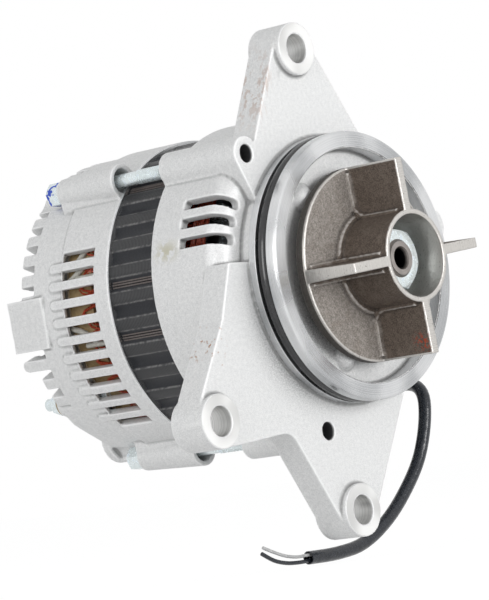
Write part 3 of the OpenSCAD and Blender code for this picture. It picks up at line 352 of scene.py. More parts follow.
def stains_of_use(where, x, y, z, colour):
    """Rust down the top ear's side, darker speckles by the pilot, a pale smear, darker bolt holes.
    """
    streak = noise(along_axis(where, (0.45, 0.4, 0.14)), 1.0, 5, 0.7)
    lean = minus(x, times(z, 0.235))
    ear_side = times(near(z, 74, 28), near(lean, -47, 11))
    rust = times(ear_side, spread(streak, 0.52, 0.57))
    spots = times(near(x, -68, 7), near(z, -24, 14))
    spot = times(spots, spread(noise(where, 0.5, 3), 0.6, 0.68))
    colour = blend_colours(sums("MAXIMUM", rust, spot), colour, (0.36, 0.17, 0.08))
    turn = angle_of(x, z)
    # Darker speckles on the flange next to the pilot, low on the left.
    by_pilot = times(spread(radius_of(x, z), 60, 48), near(turn, -140, 60))
    pilot_speckle = times(by_pilot, spread(noise(where, 1.9, 3, 0.7), 0.4, 0.62))
    pilot_speckle = times(pilot_speckle, spread(y, 2, 0, 0, 0.6))
    colour = blend_colours(pilot_speckle, colour, 0.2)
    smear = times(near(y, 29, 8), near(turn, 167.2, 5.5))
    smear = times(smear, spread(noise(where, 0.3, 4), 0.43, 0.5))
    colour = blend_colours(smear, colour, (0.54, 0.52, 0.42))
    # The walls of the bolt holes are made dark.
    for angle in BOLT_ANGLES:
        hole_x, hole_z = polar(BOLT_CIRCLE, angle)
        away = radius_of(minus(x, hole_x), minus(z, hole_z))
        hole_darkening = times(spread(away, 3.9, 3.4), spread(y, 0.1, 1.2))
        colour = blend_colours(hole_darkening, colour, (0.075, 0.075, 0.078))
    return colour


def cast_aluminium(name, used):
    material, shader, where, x, y, z = new_material(name)
    height, tone = use_group(grain_group, Where=where, Size=1.0)
    dirt = use_group(dirt_group, Where=where, Amount=0.3)[0]
    hollow = hollow_of(shader.id_data)
    colour = blend_colours(spread(tone, 0.3, 0.7), (0.59, 0.595, 0.595), (0.84, 0.84, 0.835))
    # The corners are painted darker, as shade, mixed with faint patches of real dirt.
    corner = spread(hollow, 0.497, 0.455, 0, 0.75)
    shade_and_dirt = sums("MAXIMUM", corner, times(dirt, 0.12))
    colour = blend_colours(shade_and_dirt, colour, 0.17)
    # The edges are painted lighter: a painted highlight, together with rubbed wear.
    edge_highlight_and_wear = spread(hollow, 0.505, 0.55, 0, 0.7)
    colour = blend_colours(edge_highlight_and_wear, colour, 0.88)
    if used:
        colour = stains_of_use(where, x, y, z, colour)
    dress(shader, colour, spread(tone, 0.3, 0.7, 0.62, 0.5), 0.35, bump(height, 0.45, 0.1))
    return material


front_casting = cast_aluminium("front casting", True)
rear_casting = cast_aluminium("rear casting", False)
print("castings:", front_casting.name, rear_casting.name)

# %% [markdown]
# ## Machined aluminium
# The pilot, the ears' faces and bores and the castings' rims were cut on a lathe or a drill after
# casting, so they shine. Fine rings follow the tool: they change with the radius and with the
# station.

# %% Turned aluminium
def turned_aluminium(name, dark, light, pitch, relief, rough, rings=True):
    material, shader, where, x, y, z = new_material(name)
    along = plus(y, radius_of(x, z)) if rings else y
    height, tone = use_group(turning_group, Along=along, Pitch=pitch)
    # Broad patches of painted reflection, light and dark, lie over the turning marks.
    painted_sheen_cloud = spread(noise(where, 0.045, 2, 0.4), 0.36, 0.64)
    share = plus(times(tone, 0.5), times(painted_sheen_cloud, 0.5))
    dress(shader, blend_colours(share, dark, light), spread(painted_sheen_cloud, 0.3, 0.7, rough, rough + 0.08),
          0.92, bump(height, relief, 0.05))
    return material


pilot_bright = turned_aluminium("turned pilot", (0.33, 0.34, 0.35), (0.8, 0.805, 0.81),
                                pitch=0.16, relief=0.3, rough=0.2)
bored_bright = turned_aluminium("drilled bores", (0.5, 0.5, 0.49), (0.9, 0.9, 0.89),
                                pitch=0.45, relief=0.9, rough=0.34, rings=False)
print("machined:", pilot_bright.name, bored_bright.name)

# %% [markdown]
# ## Steel
# The shaft, the poles and the bearings are turned or ground steel, and the slip rings are turned
# copper. One recipe makes them all: turning marks and a soft stain, each with its own colours and
# roughness.

# %% Turned and ground steel
def turned_steel(name, dark, light, rough_low, rough_high, metal=0.95, pitch=0.15, relief=0.25):
    material, shader, where, x, y, z = new_material(name)
    radius = radius_of(x, z)
    height, tone = use_group(turning_group, Along=plus(y, radius), Pitch=pitch)
    stain = noise(where, 0.35, 4)
    share = plus(times(tone, 0.5), times(stain, 0.5))
    colour = blend_colours(share, dark, light)
    # The lathe's centre hole is painted near black, as shade.
    centre_hole_shade = times(spread(radius, 4.0, 3.2), spread(y, 0, -1))
    colour = blend_colours(centre_hole_shade, colour, 0.006)
    dress(shader, colour, spread(stain, 0.3, 0.7, rough_low, rough_high), metal,
          bump(height, relief, 0.04))
    return material


bearing_steel = turned_steel("ground bearing steel", (0.5, 0.5, 0.52), (0.7, 0.7, 0.72), 0.15, 0.3)
shaft_steel = turned_steel("shaft steel", (0.2, 0.18, 0.17), (0.42, 0.39, 0.37), 0.3, 0.5)
pole_steel = turned_steel("pole steel", (0.2, 0.2, 0.21), (0.42, 0.41, 0.42), 0.4, 0.6)
slip_copper = turned_steel("slip ring copper", (0.6, 0.3, 0.14), (0.78, 0.47, 0.25), 0.2, 0.35)
print("steels:", bearing_steel.name, shaft_steel.name, pole_steel.name, slip_copper.name)

# %% [markdown]
# ## Plating
# Screws, nuts and stamped plates are plated, which leaves a cloudy shine. Zinc has a blue tint
# where its coat is thick. The upper bolt's head has a dab of blue paint, and the bolts' tips are
# dark. One material serves all the screws, so those places are found by station, more than 50 mm
# from the axis.

# %% Zinc plating
BOLT_HEADS, BOLT_TIPS, NEAREST_BOLT = 88.6, 6, 50


def plated(name, dark, light, rough=0.3, relief=0.2, tint=None, metal=0.9):
    material, shader, where, x, y, z = new_material(name)
    cloud = noise(where, 0.6, 2)
    speck = noise(where, 1.4, 2)
    share = plus(times(cloud, 0.8), times(speck, 0.2))
    colour = blend_colours(spread(share, 0.3, 0.7), dark, light)
    if tint is not None:
        colour = blend_colours(spread(cloud, 0.5, 0.75, 0, 0.5), colour, tint)
        outside = spread(radius_of(x, z), NEAREST_BOLT, NEAREST_BOLT + 1)
        head = times(times(spread(y, BOLT_HEADS, BOLT_HEADS + 1), outside), spread(z, 0, 5))
        paint = spread(noise(where, 0.22, 2), 0.57, 0.6)
        colour = blend_colours(times(head, paint), colour, (0.04, 0.09, 0.5))
        tip = times(spread(y, BOLT_TIPS, BOLT_TIPS - 1), outside)
        colour = blend_colours(tip, colour, 0.06)
    dress(shader, colour, spread(share, 0.3, 0.7, rough, rough + 0.08), metal,
          bump(speck, relief, 0.05))
    return material


zinc = plated("zinc plating", (0.7, 0.76, 0.77), (0.86, 0.93, 0.93), rough=0.22, relief=0.03,
              tint=(0.62, 0.71, 0.86), metal=0.45)
nickel = plated("nickel plating", 0.5, (0.75, 0.74, 0.72))
plate_aluminium = plated("stamped aluminium", (0.6, 0.6, 0.61), (0.8, 0.8, 0.81), rough=0.35)
print("platings:", zinc.name, nickel.name, plate_aluminium.name)

# %% [markdown]
# ## Moulded materials
# Resin, rubber, carbon and woven sleeving differ in colour, shine and grain, but all are moulded
# or pressed and even all over. So they share one recipe of a cloud and a fine texture.

# %% Moulded plastic, rubber and resin
def moulded(name, dark, light, rough=0.5, relief=0.15, scale=3.0, coat=0.0):
    material, shader, where, *_ = new_material(name)
    cloud = noise(where, scale * 0.15, 3)
    texture = noise(where, scale, 3)
    share = plus(times(cloud, 0.6), times(texture, 0.4))
    dress(shader, blend_colours(spread(share, 0.3, 0.7), dark, light),
          spread(cloud, 0.3, 0.7, rough, rough + 0.12), 0.0, bump(texture, relief, 0.08))
    shader.inputs["Coat Weight"].default_value = coat
    return material


tan_resin = moulded("tan resin", (0.24, 0.17, 0.08), (0.42, 0.30, 0.15), 0.5)
black_resin = moulded("black resin", 0.012, (0.035, 0.034, 0.033), 0.45)
carbon = moulded("pressed carbon", 0.03, 0.09, 0.6, 0.3, 6)
ring_rubber = moulded("smooth black rubber", (0.008, 0.008, 0.009), (0.022, 0.022, 0.024), 0.16,
                      0.05, 2, 0.3)
grommet_rubber = moulded("grommet rubber", 0.012, 0.03, 0.55)
lead_sleeving = moulded("woven lead sleeving", (0.42, 0.41, 0.36), (0.62, 0.61, 0.56), 0.7, 0.5, 5)
white_vinyl = moulded("white vinyl", 0.34, 0.6, 0.25, 0.05, 2, 0.2)
print("moulded:", tan_resin.name, black_resin.name, carbon.name, ring_rubber.name)

# %% [markdown]
# ## Glossy sleeve
# The harness sleeve is thin black vinyl. It is slightly wavy along its length, which shows in the
# long highlights. Bending the mesh would change its measured size, so a broad bump draws the
# waves.

# %% Black vinyl
sleeve_vinyl, shader, where, *_ = new_material("black vinyl sleeve")
dust = noise(where, 1.2, 4)
black = blend_colours(spread(dust, 0.4, 0.75), (0.010, 0.013, 0.019), (0.026, 0.03, 0.038))
dress(shader, black, spread(dust, 0.3, 0.7, 0.16, 0.3), 0.0, bump(noise(where, 0.35, 2), 0.4, 0.6))
print("sleeve finish:", sleeve_vinyl.name)

# %% [markdown]
# ## The stator core
# The core is a stack of thin steel sheets under black varnish. Its outside has a land and a
# hollow flute at each slot. The sheets show as fine rings on the lands, and their corners catch
# the light as rows of dots along each flute's border, so the recipe works in degrees round the
# axis and in sheets along it.

# %% Varnished laminations
SHEET_MM = 0.7


def lamination(name):
    material, shader, where, x, y, z = new_material(name)
    pitches = sums("DIVIDE", angle_of(x, z), SLOT_PITCH)
    turn = sums("FRACT", plus(pitches, SLOTS + 0.5))
    from_flute = sums("MINIMUM", turn, minus(1.0, turn))
    land = spread(from_flute, 0.24, 0.3)
    border = near(from_flute, 0.27, 0.055)
    sheet = sums("FRACT", sums("DIVIDE", y, SHEET_MM))
    gap = spread(sums("ABSOLUTE", minus(sheet, 0.5)), 0.26, 0.46)
    wear = noise(where, 0.5, 5, 0.7)
    grit = noise(where, 3.2, 3, 0.6)
    black = blend_colours(spread(grit, 0.35, 0.7), (0.009, 0.0095, 0.012), (0.026, 0.028, 0.034))
    for low, high, tone in ((0.75, 0, (0.075, 0.075, 0.077)), (0, 0.8, 0.003)):
        share = times(land, spread(gap, 0, 1, low, high))
        black = blend_colours(share, black, tone)
    # Painted glints: the sheets' corners along each flute's border, drawn as dots of light.
    painted_glints = times(border, minus(1.0, gap))
    painted_glints = times(painted_glints, spread(wear, 0.4, 0.55, 0.15, 0.8))
    colour = blend_colours(painted_glints, black, (0.30, 0.295, 0.29))
    ridge = times(minus(1.0, gap), spread(land, 0, 1, 0.35, 1))
    height = plus(ridge, times(grit, 0.35))
    dress(shader, colour, spread(grit, 0.3, 0.7, 0.3, 0.46), 0.1, bump(height, 0.55, 0.14))
    shader.inputs["Specular IOR Level"].default_value = 0.3
    return material


core_varnish = lamination("varnished laminations")
weld_metal = turned_steel("weld bead", (0.045, 0.03, 0.025), (0.24, 0.215, 0.205), 0.3, 0.5,
                          metal=0.5, pitch=0.3, relief=0.6)
print("core finishes:", core_varnish.name, weld_metal.name)

# %% [markdown]
# ## The winding
# The wire is enamelled and dipped in red-brown varnish. The strands run round the machine at the
# end turns, so a fine ribbing follows the radius and the station.

# %% Varnished wire
winding_varnish, shader, where, x, y, z = new_material("red wire varnish")
across = plus(times(y, 1.1), radius_of(x, z))
strand = sums("ABSOLUTE", sums("SINE", times(across, 3.4)))
cloud = noise(where, 0.6, 4)
share = times(plus(strand, cloud), 0.5)
dress(shader, blend_colours(share, (0.16, 0.016, 0.009), (0.8, 0.13, 0.055)),
      spread(cloud, 0.3, 0.7, 0.25, 0.4), 0.2, bump(strand, 0.6, 0.3))
shader.inputs["Coat Weight"].default_value = 0.4
print("winding finish:", winding_varnish.name)

# %% [markdown]
# ## The drive coupling
# Sand-cast iron, brown-grey and rough. The vanes' tips, the cup and the disc's rim were faced on
# a lathe. The vanes are painted darker than the disc, as shade on the same iron. The raised seams
# between them are painted light, as a highlight and as rubbed wear, and the creases painted dark,
# as shade. One recipe tells them apart by their station and by the skin's record of its shape.

# %% Sand-cast iron
coupling_iron, shader, where, x, y, z = new_material("sand-cast iron")
radius = radius_of(x, z)
sand_height, sand_tone = use_group(grain_group, Where=where, Size=0.8)
hollow = hollow_of(shader.id_data)
stain = noise(where, 0.22, 5, 0.65)
sand = spread(sand_tone, 0.33, 0.67)
# The vanes are painted darker than the disc: painted shade on the same iron.
shaded_vane_skin = blend_colours(sand, (0.052, 0.038, 0.029), (0.16, 0.125, 0.10))
disc_skin = blend_colours(sand, (0.17, 0.15, 0.13), (0.42, 0.385, 0.355))
on_disc = spread(plus(y, times(stain, 3)), -14.6, -13.0)
iron = blend_colours(on_disc, shaded_vane_skin, disc_skin)
# A stain, then a painted highlight with wear on edges and seams, then painted shade in creases.
for mask, colour in ((spread(stain, 0.5, 0.72, 0, 0.4), (0.19, 0.155, 0.125)),
                     (spread(hollow, 0.505, 0.54, 0, 0.9), (0.6, 0.57, 0.54)),
                     (spread(hollow, 0.49, 0.44, 0, 0.7), (0.035, 0.027, 0.022))):
    iron = blend_colours(mask, iron, colour)
dab = times(near(z, -30, 5), near(y, -33, 6))
dab = times(dab, spread(noise(where, 0.8, 4), 0.5, 0.58))
iron = blend_colours(dab, iron, (0.36, 0.055, 0.02))
print("coupling skin is ready")

# %% [markdown]
# ## Faced parts of the coupling
# The lathe cut the tips of the vanes, the rim of the disc and the cup. Each is found by its
# station or its radius, in millimetres, and gets bright metal with turning marks and a few pits.

# %% Faced iron
TIPS, RIM_RADIUS, CUP_RADIUS, CUP_FLOOR = -35.4, 33.7, 14.9, -16.4
faced = spread(y, TIPS - 0.2, TIPS, 1, 0, soft=False)
edge_of_disc = spread(radius, RIM_RADIUS, RIM_RADIUS + 0.2, soft=False)
# The rim's faced band is kept to the disc's front edge, as a painted highlight in faced metal.
rim = times(edge_of_disc, spread(y, -13.6, -13.3, 1, 0, soft=False))
# Behind that edge, the disc's side is painted dark, as shade.
rim_shade = times(edge_of_disc, spread(y, -13.8, -13.0, 0, 0.8))
iron = blend_colours(rim_shade, iron, (0.03, 0.026, 0.023))
bore = times(spread(radius, CUP_RADIUS - 0.15, CUP_RADIUS, 1, 0, soft=False),
             spread(y, CUP_FLOOR - 0.2, CUP_FLOOR, 1, 0, soft=False))
machined = sums("MAXIMUM", sums("MAXIMUM", faced, rim), bore)
height, tone = use_group(turning_group, Along=plus(y, radius), Pitch=0.2)
bright = blend_colours(tone, (0.44, 0.42, 0.395), (0.66, 0.64, 0.61))
pit = spread(noise(where, 1.6, 3, 0.7), 0.62, 0.7)
bright = blend_colours(pit, bright, (0.12, 0.10, 0.09))
relief = spread(machined, 0, 1, sand_height, times(height, 0.12), soft=False)
dress(shader, blend_colours(machined, iron, bright),
      spread(machined, 0, 1, 0.6, 0.34), spread(machined, 0, 1, 0.4, 0.85),
      bump(relief, 0.8, 0.3))
print("coupling finish:", coupling_iron.name)

# %% [markdown]
# ## Making the pieces
# A round piece is one profile turned about an axis, as on a lathe. A cord or a wire is a tube
# laid along a route. Both helpers end with a mesh that has its place in itself.

# %% Lathe and tube helpers
def new_piece(name, mesh_or_curve):
    piece = bpy.data.objects.new(name, mesh_or_curve)
    bpy.context.scene.collection.objects.link(piece)
    pick(piece)
    return piece


def lathe(name, profile, at=(0, 0), steps=64):
    """Turns a profile of (radius, station) pairs in millimetres about the axis through x, z."""
    clear_selection()
    bpy.ops.mesh.primitive_plane_add(size=MM)
    piece = bpy.context.object
    piece.name = name
    edit_all()
    bpy.ops.mesh.merge(type="CENTER")
    bpy.ops.transform.translate(value=(profile[0][0] * MM, profile[0][1] * MM, 0))
    for (r0, y0), (r1, y1) in zip(profile, profile[1:]):
        move = ((r1 - r0) * MM, (y1 - y0) * MM, 0)
        bpy.ops.mesh.extrude_region_move(TRANSFORM_OT_translate={"value": move})
    bpy.ops.mesh.select_all(action="SELECT")
    bpy.ops.mesh.spin(steps=steps, angle=2 * pi, center=(0, 0, 0), axis=(0, 1, 0))
    bpy.ops.mesh.select_all(action="SELECT")
    bpy.ops.mesh.remove_doubles(threshold=2e-6)
    bpy.ops.mesh.normals_make_consistent(inside=False)
    bpy.ops.object.mode_set(mode="OBJECT")
    piece.location = (at[0] * MM, 0, at[1] * MM)
    return settle(piece)


def tube(name, routes, radius, resolution=3, caps=True):
    """Lays a tube of that radius, in metres, along each route of points."""
    curve = bpy.data.curves.new(name, "CURVE")
    curve.dimensions = "3D"
    curve.bevel_depth = radius
    curve.bevel_resolution = resolution
    curve.use_fill_caps = caps
    for route in routes:
        spline = curve.splines.new("POLY")
        spline.points.add(len(route) - 1)
        for spot, point in zip(spline.points, route):
            spot.co = (*point, 1)
    new_piece(name, curve)
    bpy.ops.object.convert(target="MESH")
    return bpy.context.object


def give(piece, material, body, *stands_for, slot=None):
    """Gives a piece its finish and its body, and hides the CAD nodes that it stands for."""
    piece.data.materials.clear()
    piece.data.materials.append(material)
    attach(piece, body)
    if stands_for:
        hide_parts(*stands_for)
    return piece

# %% [markdown]
# ## The harness
# Two thin wires leave the far side of the machine in a black vinyl sleeve, which passes under the
# front casting and ends in a clean cut. The sleeve is a real tube, so its wall and the wires in
# its mouth show.

# %% Sleeve and wires
def smooth_route(route, steps):
    """The same route with that many points to each leg, on one smooth curve."""
    made = []
    for i in range(len(route) - 1):
        p0, p1 = route[max(i - 1, 0)], route[i]
        p2, p3 = route[i + 1], route[min(i + 2, len(route) - 1)]
        for s in range(steps):
            t = s / steps
            made.append(0.5 * (2 * p1 + (p2 - p0) * t + (2 * p0 - 5 * p1 + 4 * p2 - p3) * t * t
                               + (3 * p1 - p0 - 3 * p2 + p3) * t ** 3))
    return made + [route[-1]]


def metres(points):
    return [Vector(point) * MM for point in points]


def length_of(points):
    return sum((b - a).length for a, b in zip(points, points[1:]))


sleeve_route = smooth_route(metres([
    (48.002, 78.2, -33.612), (51.279, 78.2, -35.906), (58, 77, -40), (62, 72, -43), (64, 60, -44),
    (64, 44, -43), (64, 28, -42), (62, 20, -46), (59, 18, -56), (53, 18, -69), (43, 18, -80),
    (30, 18, -90), (15, 18, -97), (0, 18, -99), (-16, 18, -99)]), 5)
wire_route_1 = smooth_route(metres([
    (-4, 18, -98.6), (-10, 18, -98.3), (-16.1, 18, -98), (-22, 18, -98), (-28, 18, -97),
    (-34, 18, -95), (-39, 18, -93)]), 4)
wire_route_2 = smooth_route(metres([
    (-4, 18, -99.4), (-10, 18, -99.7), (-16.1, 18, -100), (-22, 18, -100), (-28, 18, -99.5),
    (-34, 18, -98), (-40, 18, -95)]), 4)
sleeve = tube("harness_sleeve_skin", [sleeve_route], 0.0024, 5, caps=False)
modify(sleeve, "SOLIDIFY", thickness=0.0004, offset=-1)
smooth(sleeve, 50)
wire_1 = smooth(tube("harness_wire_light", [wire_route_1], 0.0006, 3), 50)
wire_2 = smooth(tube("harness_wire_dark", [wire_route_2], 0.00074, 3), 50)
give(sleeve, sleeve_vinyl, "housing", "harness_sleeve", slot="black_sleeve")
give(wire_1, white_vinyl, "housing", "harness_wire_1", slot="white_insulation")
give(wire_2, sleeve_vinyl, "housing", "harness_wire_2", slot="black_sleeve")
print("sleeve length:", round(length_of(sleeve_route), 4), "wires:",
      round(length_of(wire_route_1), 4), round(length_of(wire_route_2), 4))

# %% [markdown]
# ## Hexagons and threads
# A nut or a bolt's head starts as a six-sided cylinder. A turned cone takes off its corners, as
# the chamfering tool does, and a drill makes the hole. A thread is a zigzag in the lathe profile.
# A screw modifier could make a true helix, but at this size rings look the same.

# %% Hexagon and thread helpers
def hexagon(name, across_flats, front, back, chamfer, at, angle=0, hole=None):
    """A hexagonal head or nut from station front to back, its outer corners rounded off."""
    corner = across_flats / sqrt(3)
    clear_selection()
    bpy.ops.mesh.primitive_cylinder_add(
        vertices=6, radius=corner * MM, depth=(back - front) * MM,
        location=(0, (front + back) / 2 * MM, 0), rotation=(pi / 2, 0, 0))
    piece = bpy.context.object
    piece.name = name
    settle(piece)
    low, high = chamfer
    wide, slope, spare = corner * 1.01, 0.6, 0.01
    cutters = [("INTERSECT", [(0, front - spare), (wide - low, front - spare),
                              (wide, front + low * slope), (wide, back - high * slope),
                              (wide - high, back + spare), (0, back + spare)])]
    if hole:
        cutters.append(("DIFFERENCE", [(0, front - 1), (hole, front - 1), (hole, back + 1),
                                       (0, back + 1)]))
    for operation, profile in cutters:
        cutter = lathe(name + "_cutter", profile, steps=48)
        modify(piece, "BOOLEAN", operation=operation, object=cutter, solver="EXACT")
        bpy.data.objects.remove(cutter)
    modify(piece, "BEVEL", width=0.12 * MM, segments=2, limit_method="ANGLE",
           angle_limit=radians(25))
    piece.rotation_euler = (0, -radians(angle), 0)
    piece.location = (at[0] * MM, 0, at[1] * MM)
    return smooth(settle(piece), 25)


def thread(radius, start, end, pitch=1.0, depth=0.55):
    """Zigzag of a thread along a profile, from one station to the next."""
    made, station = [], start
    while station + pitch <= end:
        made += [(radius - depth, station), (radius, station + pitch * 0.4),
                 (radius, station + pitch * 0.6)]
        station += pitch
    return made + [(radius - depth, station)]


# %% [markdown]
# ## The through bolts
# Three zinc-plated bolts hold the castings together. Each has a hexagonal head on a washer face,
# a plain shank, and a rolled thread that shows between the castings. The shank, the thread and
# the washer face are one lathe profile, which is quicker and cleaner than joined cylinders.

# %% Bolts
def stations(box):
    """The stations of a box's front and back, in millimetres."""
    return [corner.y / MM for corner in box]


HEAD_HEIGHT, FACE_RADIUS, SHANK_RADIUS, THREAD_RADIUS, THREAD_END = 6.4, 4.65, 2.35, 2.6, 52
bolt_front, bolt_back = stations(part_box("through_bolts"))
bolt_seat = bolt_back - HEAD_HEIGHT
bolt_profile = [(0, bolt_front), (1.9, bolt_front)]
bolt_profile += thread(THREAD_RADIUS, bolt_front + 0.5, THREAD_END, 1.0, 0.45)
bolt_profile += [(SHANK_RADIUS, THREAD_END + 0.6), (SHANK_RADIUS, bolt_seat)]
bolt_profile += [(radius, bolt_seat + step) for radius, step in (
    (FACE_RADIUS - 0.55, 0), (FACE_RADIUS, 0.25), (FACE_RADIUS, 0.75), (FACE_RADIUS - 0.45, 1.05),
    (0, 1.05))]
bolt_pieces = []
for angle in BOLT_ANGLES:
    at = polar(BOLT_CIRCLE, angle)
    shank = lathe("bolt_shank", bolt_profile, at, steps=36)
    head = hexagon("bolt_head", 8, bolt_seat + 0.9, bolt_back, (0.05, 0.9), at, angle + 12)
    bolt_pieces += [smooth(shank, 35), head]
bolts = join(bolt_pieces, "through_bolt_set")
give(bolts, zinc, "housing", "through_bolts", slot="zinc_steel")
print("through bolts:", len(bolts.data.polygons), "faces")

# %% [markdown]
# ## The coupling nut and the shaft end
# The nut stands in the cup on a washer. Inside it shows the end of the thread, and the lathe's
# centre hole in the end of the shaft. All three replace plain solids and keep to their boxes.

# %% Nut, washer and shaft
nut_front, nut_back = stations(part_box("coupling_nut"))
nut = hexagon("nut_body", 20, nut_front, nut_back, (1.7, 0.1), (0, 0), angle=20, hole=6.75)
give(nut, zinc, "rotor", "coupling_nut", slot="zinc_steel")
front, back = stations(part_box("coupling_washer"))
washer = lathe("washer_ring", [(8.6, front), (12.6, front), (12.95, front + 0.35),
                               (12.95, back - 0.1), (12.85, back), (8.6, back), (8.6, front)])
give(smooth(washer), zinc, "rotor", "coupling_washer", slot="zinc_steel")
tip, end = stations(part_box("rotor_shaft"))
CORE_FRONT, CORE_BACK, RINGS_BACK = 28.5, 66.9, 87.5
shaft_profile = [(0, tip + 9), (2.6, tip + 7.6), (2.75, tip + 2.2), (4.1, tip), (5.9, tip)]
shaft_profile += thread(6.72, tip + 0.6, nut_back - 0.4, 1.25, 0.6)
shaft_profile += [
    (6.6, nut_back), (8.45, nut_back), (8.45, CORE_FRONT), (9.5, CORE_FRONT), (9.5, CORE_BACK),
    (8, CORE_BACK), (8, RINGS_BACK), (7.46, RINGS_BACK), (7.46, end - 1), (6.5, end), (0, end)]
shaft = lathe("turned_shaft", shaft_profile)
give(smooth(shaft, 40), shaft_steel, "rotor", "rotor_shaft", slot="shaft_steel")
print("shaft end at", round(tip, 2), "nut from", round(nut_front, 2), "to", round(nut_back, 2))

# %% [markdown]
# ## The castings' skins
# The solids have knife-sharp edges, and castings have soft ones. Bevels would do on a box, but
# these shapes have too many corners, so a copy of each solid is rebuilt from small even faces and
# smoothed a little, which rounds every edge at once. Then each vertex notes whether it lies in a
# corner or on an edge, for the finish to read.

# %% Cast skin helper
def note_hollows(piece, rounds):
    pick(piece)
    bpy.ops.geometry.color_attribute_add(name="hollow", domain="CORNER",
                                         data_type="FLOAT_COLOR", color=(1, 1, 1, 1))
    bpy.ops.paint.vertex_color_dirt(blur_strength=1.0, blur_iterations=rounds, normalize=False)


def cast_skin(node, name, voxel_mm, rounds, keep=1.0, lumps_mm=0.0, lump_size_mm=1.0, seams=()):
    """A copy of a CAD node as a casting, with any seams or backings grown into it."""
    piece = new_piece(name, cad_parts[node].data.copy())
    bpy.ops.mesh.customdata_custom_splitnormals_clear()
    edit_all()
    bpy.ops.mesh.remove_doubles(threshold=1e-6)
    bpy.ops.object.mode_set(mode="OBJECT")
    if seams:
        piece = join([piece, *seams], name)
    piece.data.remesh_voxel_size = voxel_mm * MM
    piece.data.use_remesh_preserve_attributes = False
    bpy.ops.object.voxel_remesh()
    modify(piece, "SMOOTH", factor=0.5, iterations=rounds)
    if lumps_mm:
        cloud = bpy.data.textures.new(name + "_lumps", "CLOUDS")
        cloud.noise_scale = lump_size_mm * MM
        cloud.noise_depth = 2
        modify(piece, "DISPLACE", texture=cloud, texture_coords="LOCAL", strength=lumps_mm * MM,
               mid_level=0.75)
    note_hollows(piece, 2)
    if keep < 1:
        modify(piece, "DECIMATE", ratio=keep)
    for face in piece.data.polygons:
        face.use_smooth = True
    modify(piece, "WEIGHTED_NORMAL", mode="FACE_AREA", weight=50)
    print(name + ":", len(piece.data.polygons), "faces")
    return piece


# %% [markdown]
# ## The two castings
# The front casting needs no more than its skin. The lips of the rear casting's slots are thinner
# than the skin's faces and would break up, so a hidden ring behind them is rebuilt into the skin.

# %% Two castings
front_skin = cast_skin("front_frame", "front_casting_skin", 0.6, 2, keep=0.4)
give(front_skin, front_casting, "housing", "front_frame", slot="cast_aluminium")
lip_backing = lathe("lip_backing", [(53.3, 83.1), (54.5, 83.1), (54.5, 86.2), (53.3, 86.2),
                                    (53.3, 83.1)], steps=144)
rear_skin = cast_skin("rear_frame", "rear_casting_skin", 0.6, 2, keep=0.42, seams=[lip_backing])
give(rear_skin, rear_casting, "housing", "rear_frame", slot="cast_aluminium")

# %% [markdown]
# ## Machined faces
# What was cut after casting has crisp edges again. Each is a thin ring turned from its own
# profile, and lies a few hundredths of a millimetre proud of the skin.

# %% Pilot, rims and ears
PILOT = 47.54
pilot_ring = lathe("pilot_ring", [
    (41.5, -6.2), (41.5, -12.0), (41.95, -12.44), (46.65, -12.44), (47.3, -12.0), (PILOT, -11.3),
    (PILOT, -8.37), (45, -8.37), (45, -6.2), (41.5, -6.2)], steps=144)
pilot_land = lathe("pilot_land", [
    (45, -3.43), (47.45, -3.43), (PILOT, -3.3), (PILOT, -0.52), (46.2, -0.52), (45, -0.52),
    (45, -3.43)], steps=144)
core_rim = lathe("core_rim", [
    (53.6, 59.0), (55.55, 59.0), (55.85, 59.2), (55.85, 59.9), (53.6, 59.9), (53.6, 59.0)],
    steps=144)
pilot_faces = smooth(join([pilot_ring, pilot_land, core_rim], "turned_pilot_faces"))
give(pilot_faces, pilot_bright, "housing", slot="cast_aluminium")
ear_faces = []
for radius, angle in EARS:
    ear_faces.append(lathe("ear_face", [
        (5.2, 12.24), (5.2, -1.8), (5.75, -2.44), (9.05, -2.44), (9.36, -2.1), (9.36, -0.4),
        (7, -0.4), (7, 12.24), (5.2, 12.24)], polar(radius, angle)))
ear_rings = smooth(join(ear_faces, "machined_ear_faces"))
give(ear_rings, bored_bright, "housing", slot="cast_aluminium")
print("machined faces:", len(pilot_faces.data.polygons) + len(ear_rings.data.polygons))

# %% [markdown]
# ## The drive coupling as a casting
# The coupling gets the same skin, a little lumpier. Along the foot of each vane and round the hub
# runs a raised seam from the mould. The seams are rods laid on the joints, and the new skin grows
# over them.

# %% Coupling
COUPLING_ANGLE, HALF_VANE = 5.3, 2.75
VANE_FOOT = ((32.6, -14.35), (25, -14.4), (19.8, -14.7), (17.6, -16.4), (16.5, -19), (16.3, -26),
             (16.25, -33.5))
seam_routes = []
for i in range(4):
    vane = COUPLING_ANGLE + 90 * i
    for side in (-HALF_VANE, HALF_VANE):
        seam_routes.append([spot_at(radius, vane + side / radius * 180 / pi, station)
                            for radius, station in VANE_FOOT])
    seam_routes.append([spot_at(17.0, vane + turn, -15.2) for turn in range(9, 82, 6)])
seams = tube("coupling_seams", seam_routes, 0.0012, 2)
coupling = cast_skin("drive_coupling", "coupling_casting", 0.44, 2, lumps_mm=0.16, lump_size_mm=1.1,
                     seams=[seams])
give(coupling, coupling_iron, "rotor", "drive_coupling", slot="coupling_iron")

# %% [markdown]
# ## Ribs of the core
# The outside of the sheets is a land and a flute, 36 times round. A circle with twelve points to
# each slot is drawn, the points over each flute are pulled in, and the line is extruded along the
# axis.

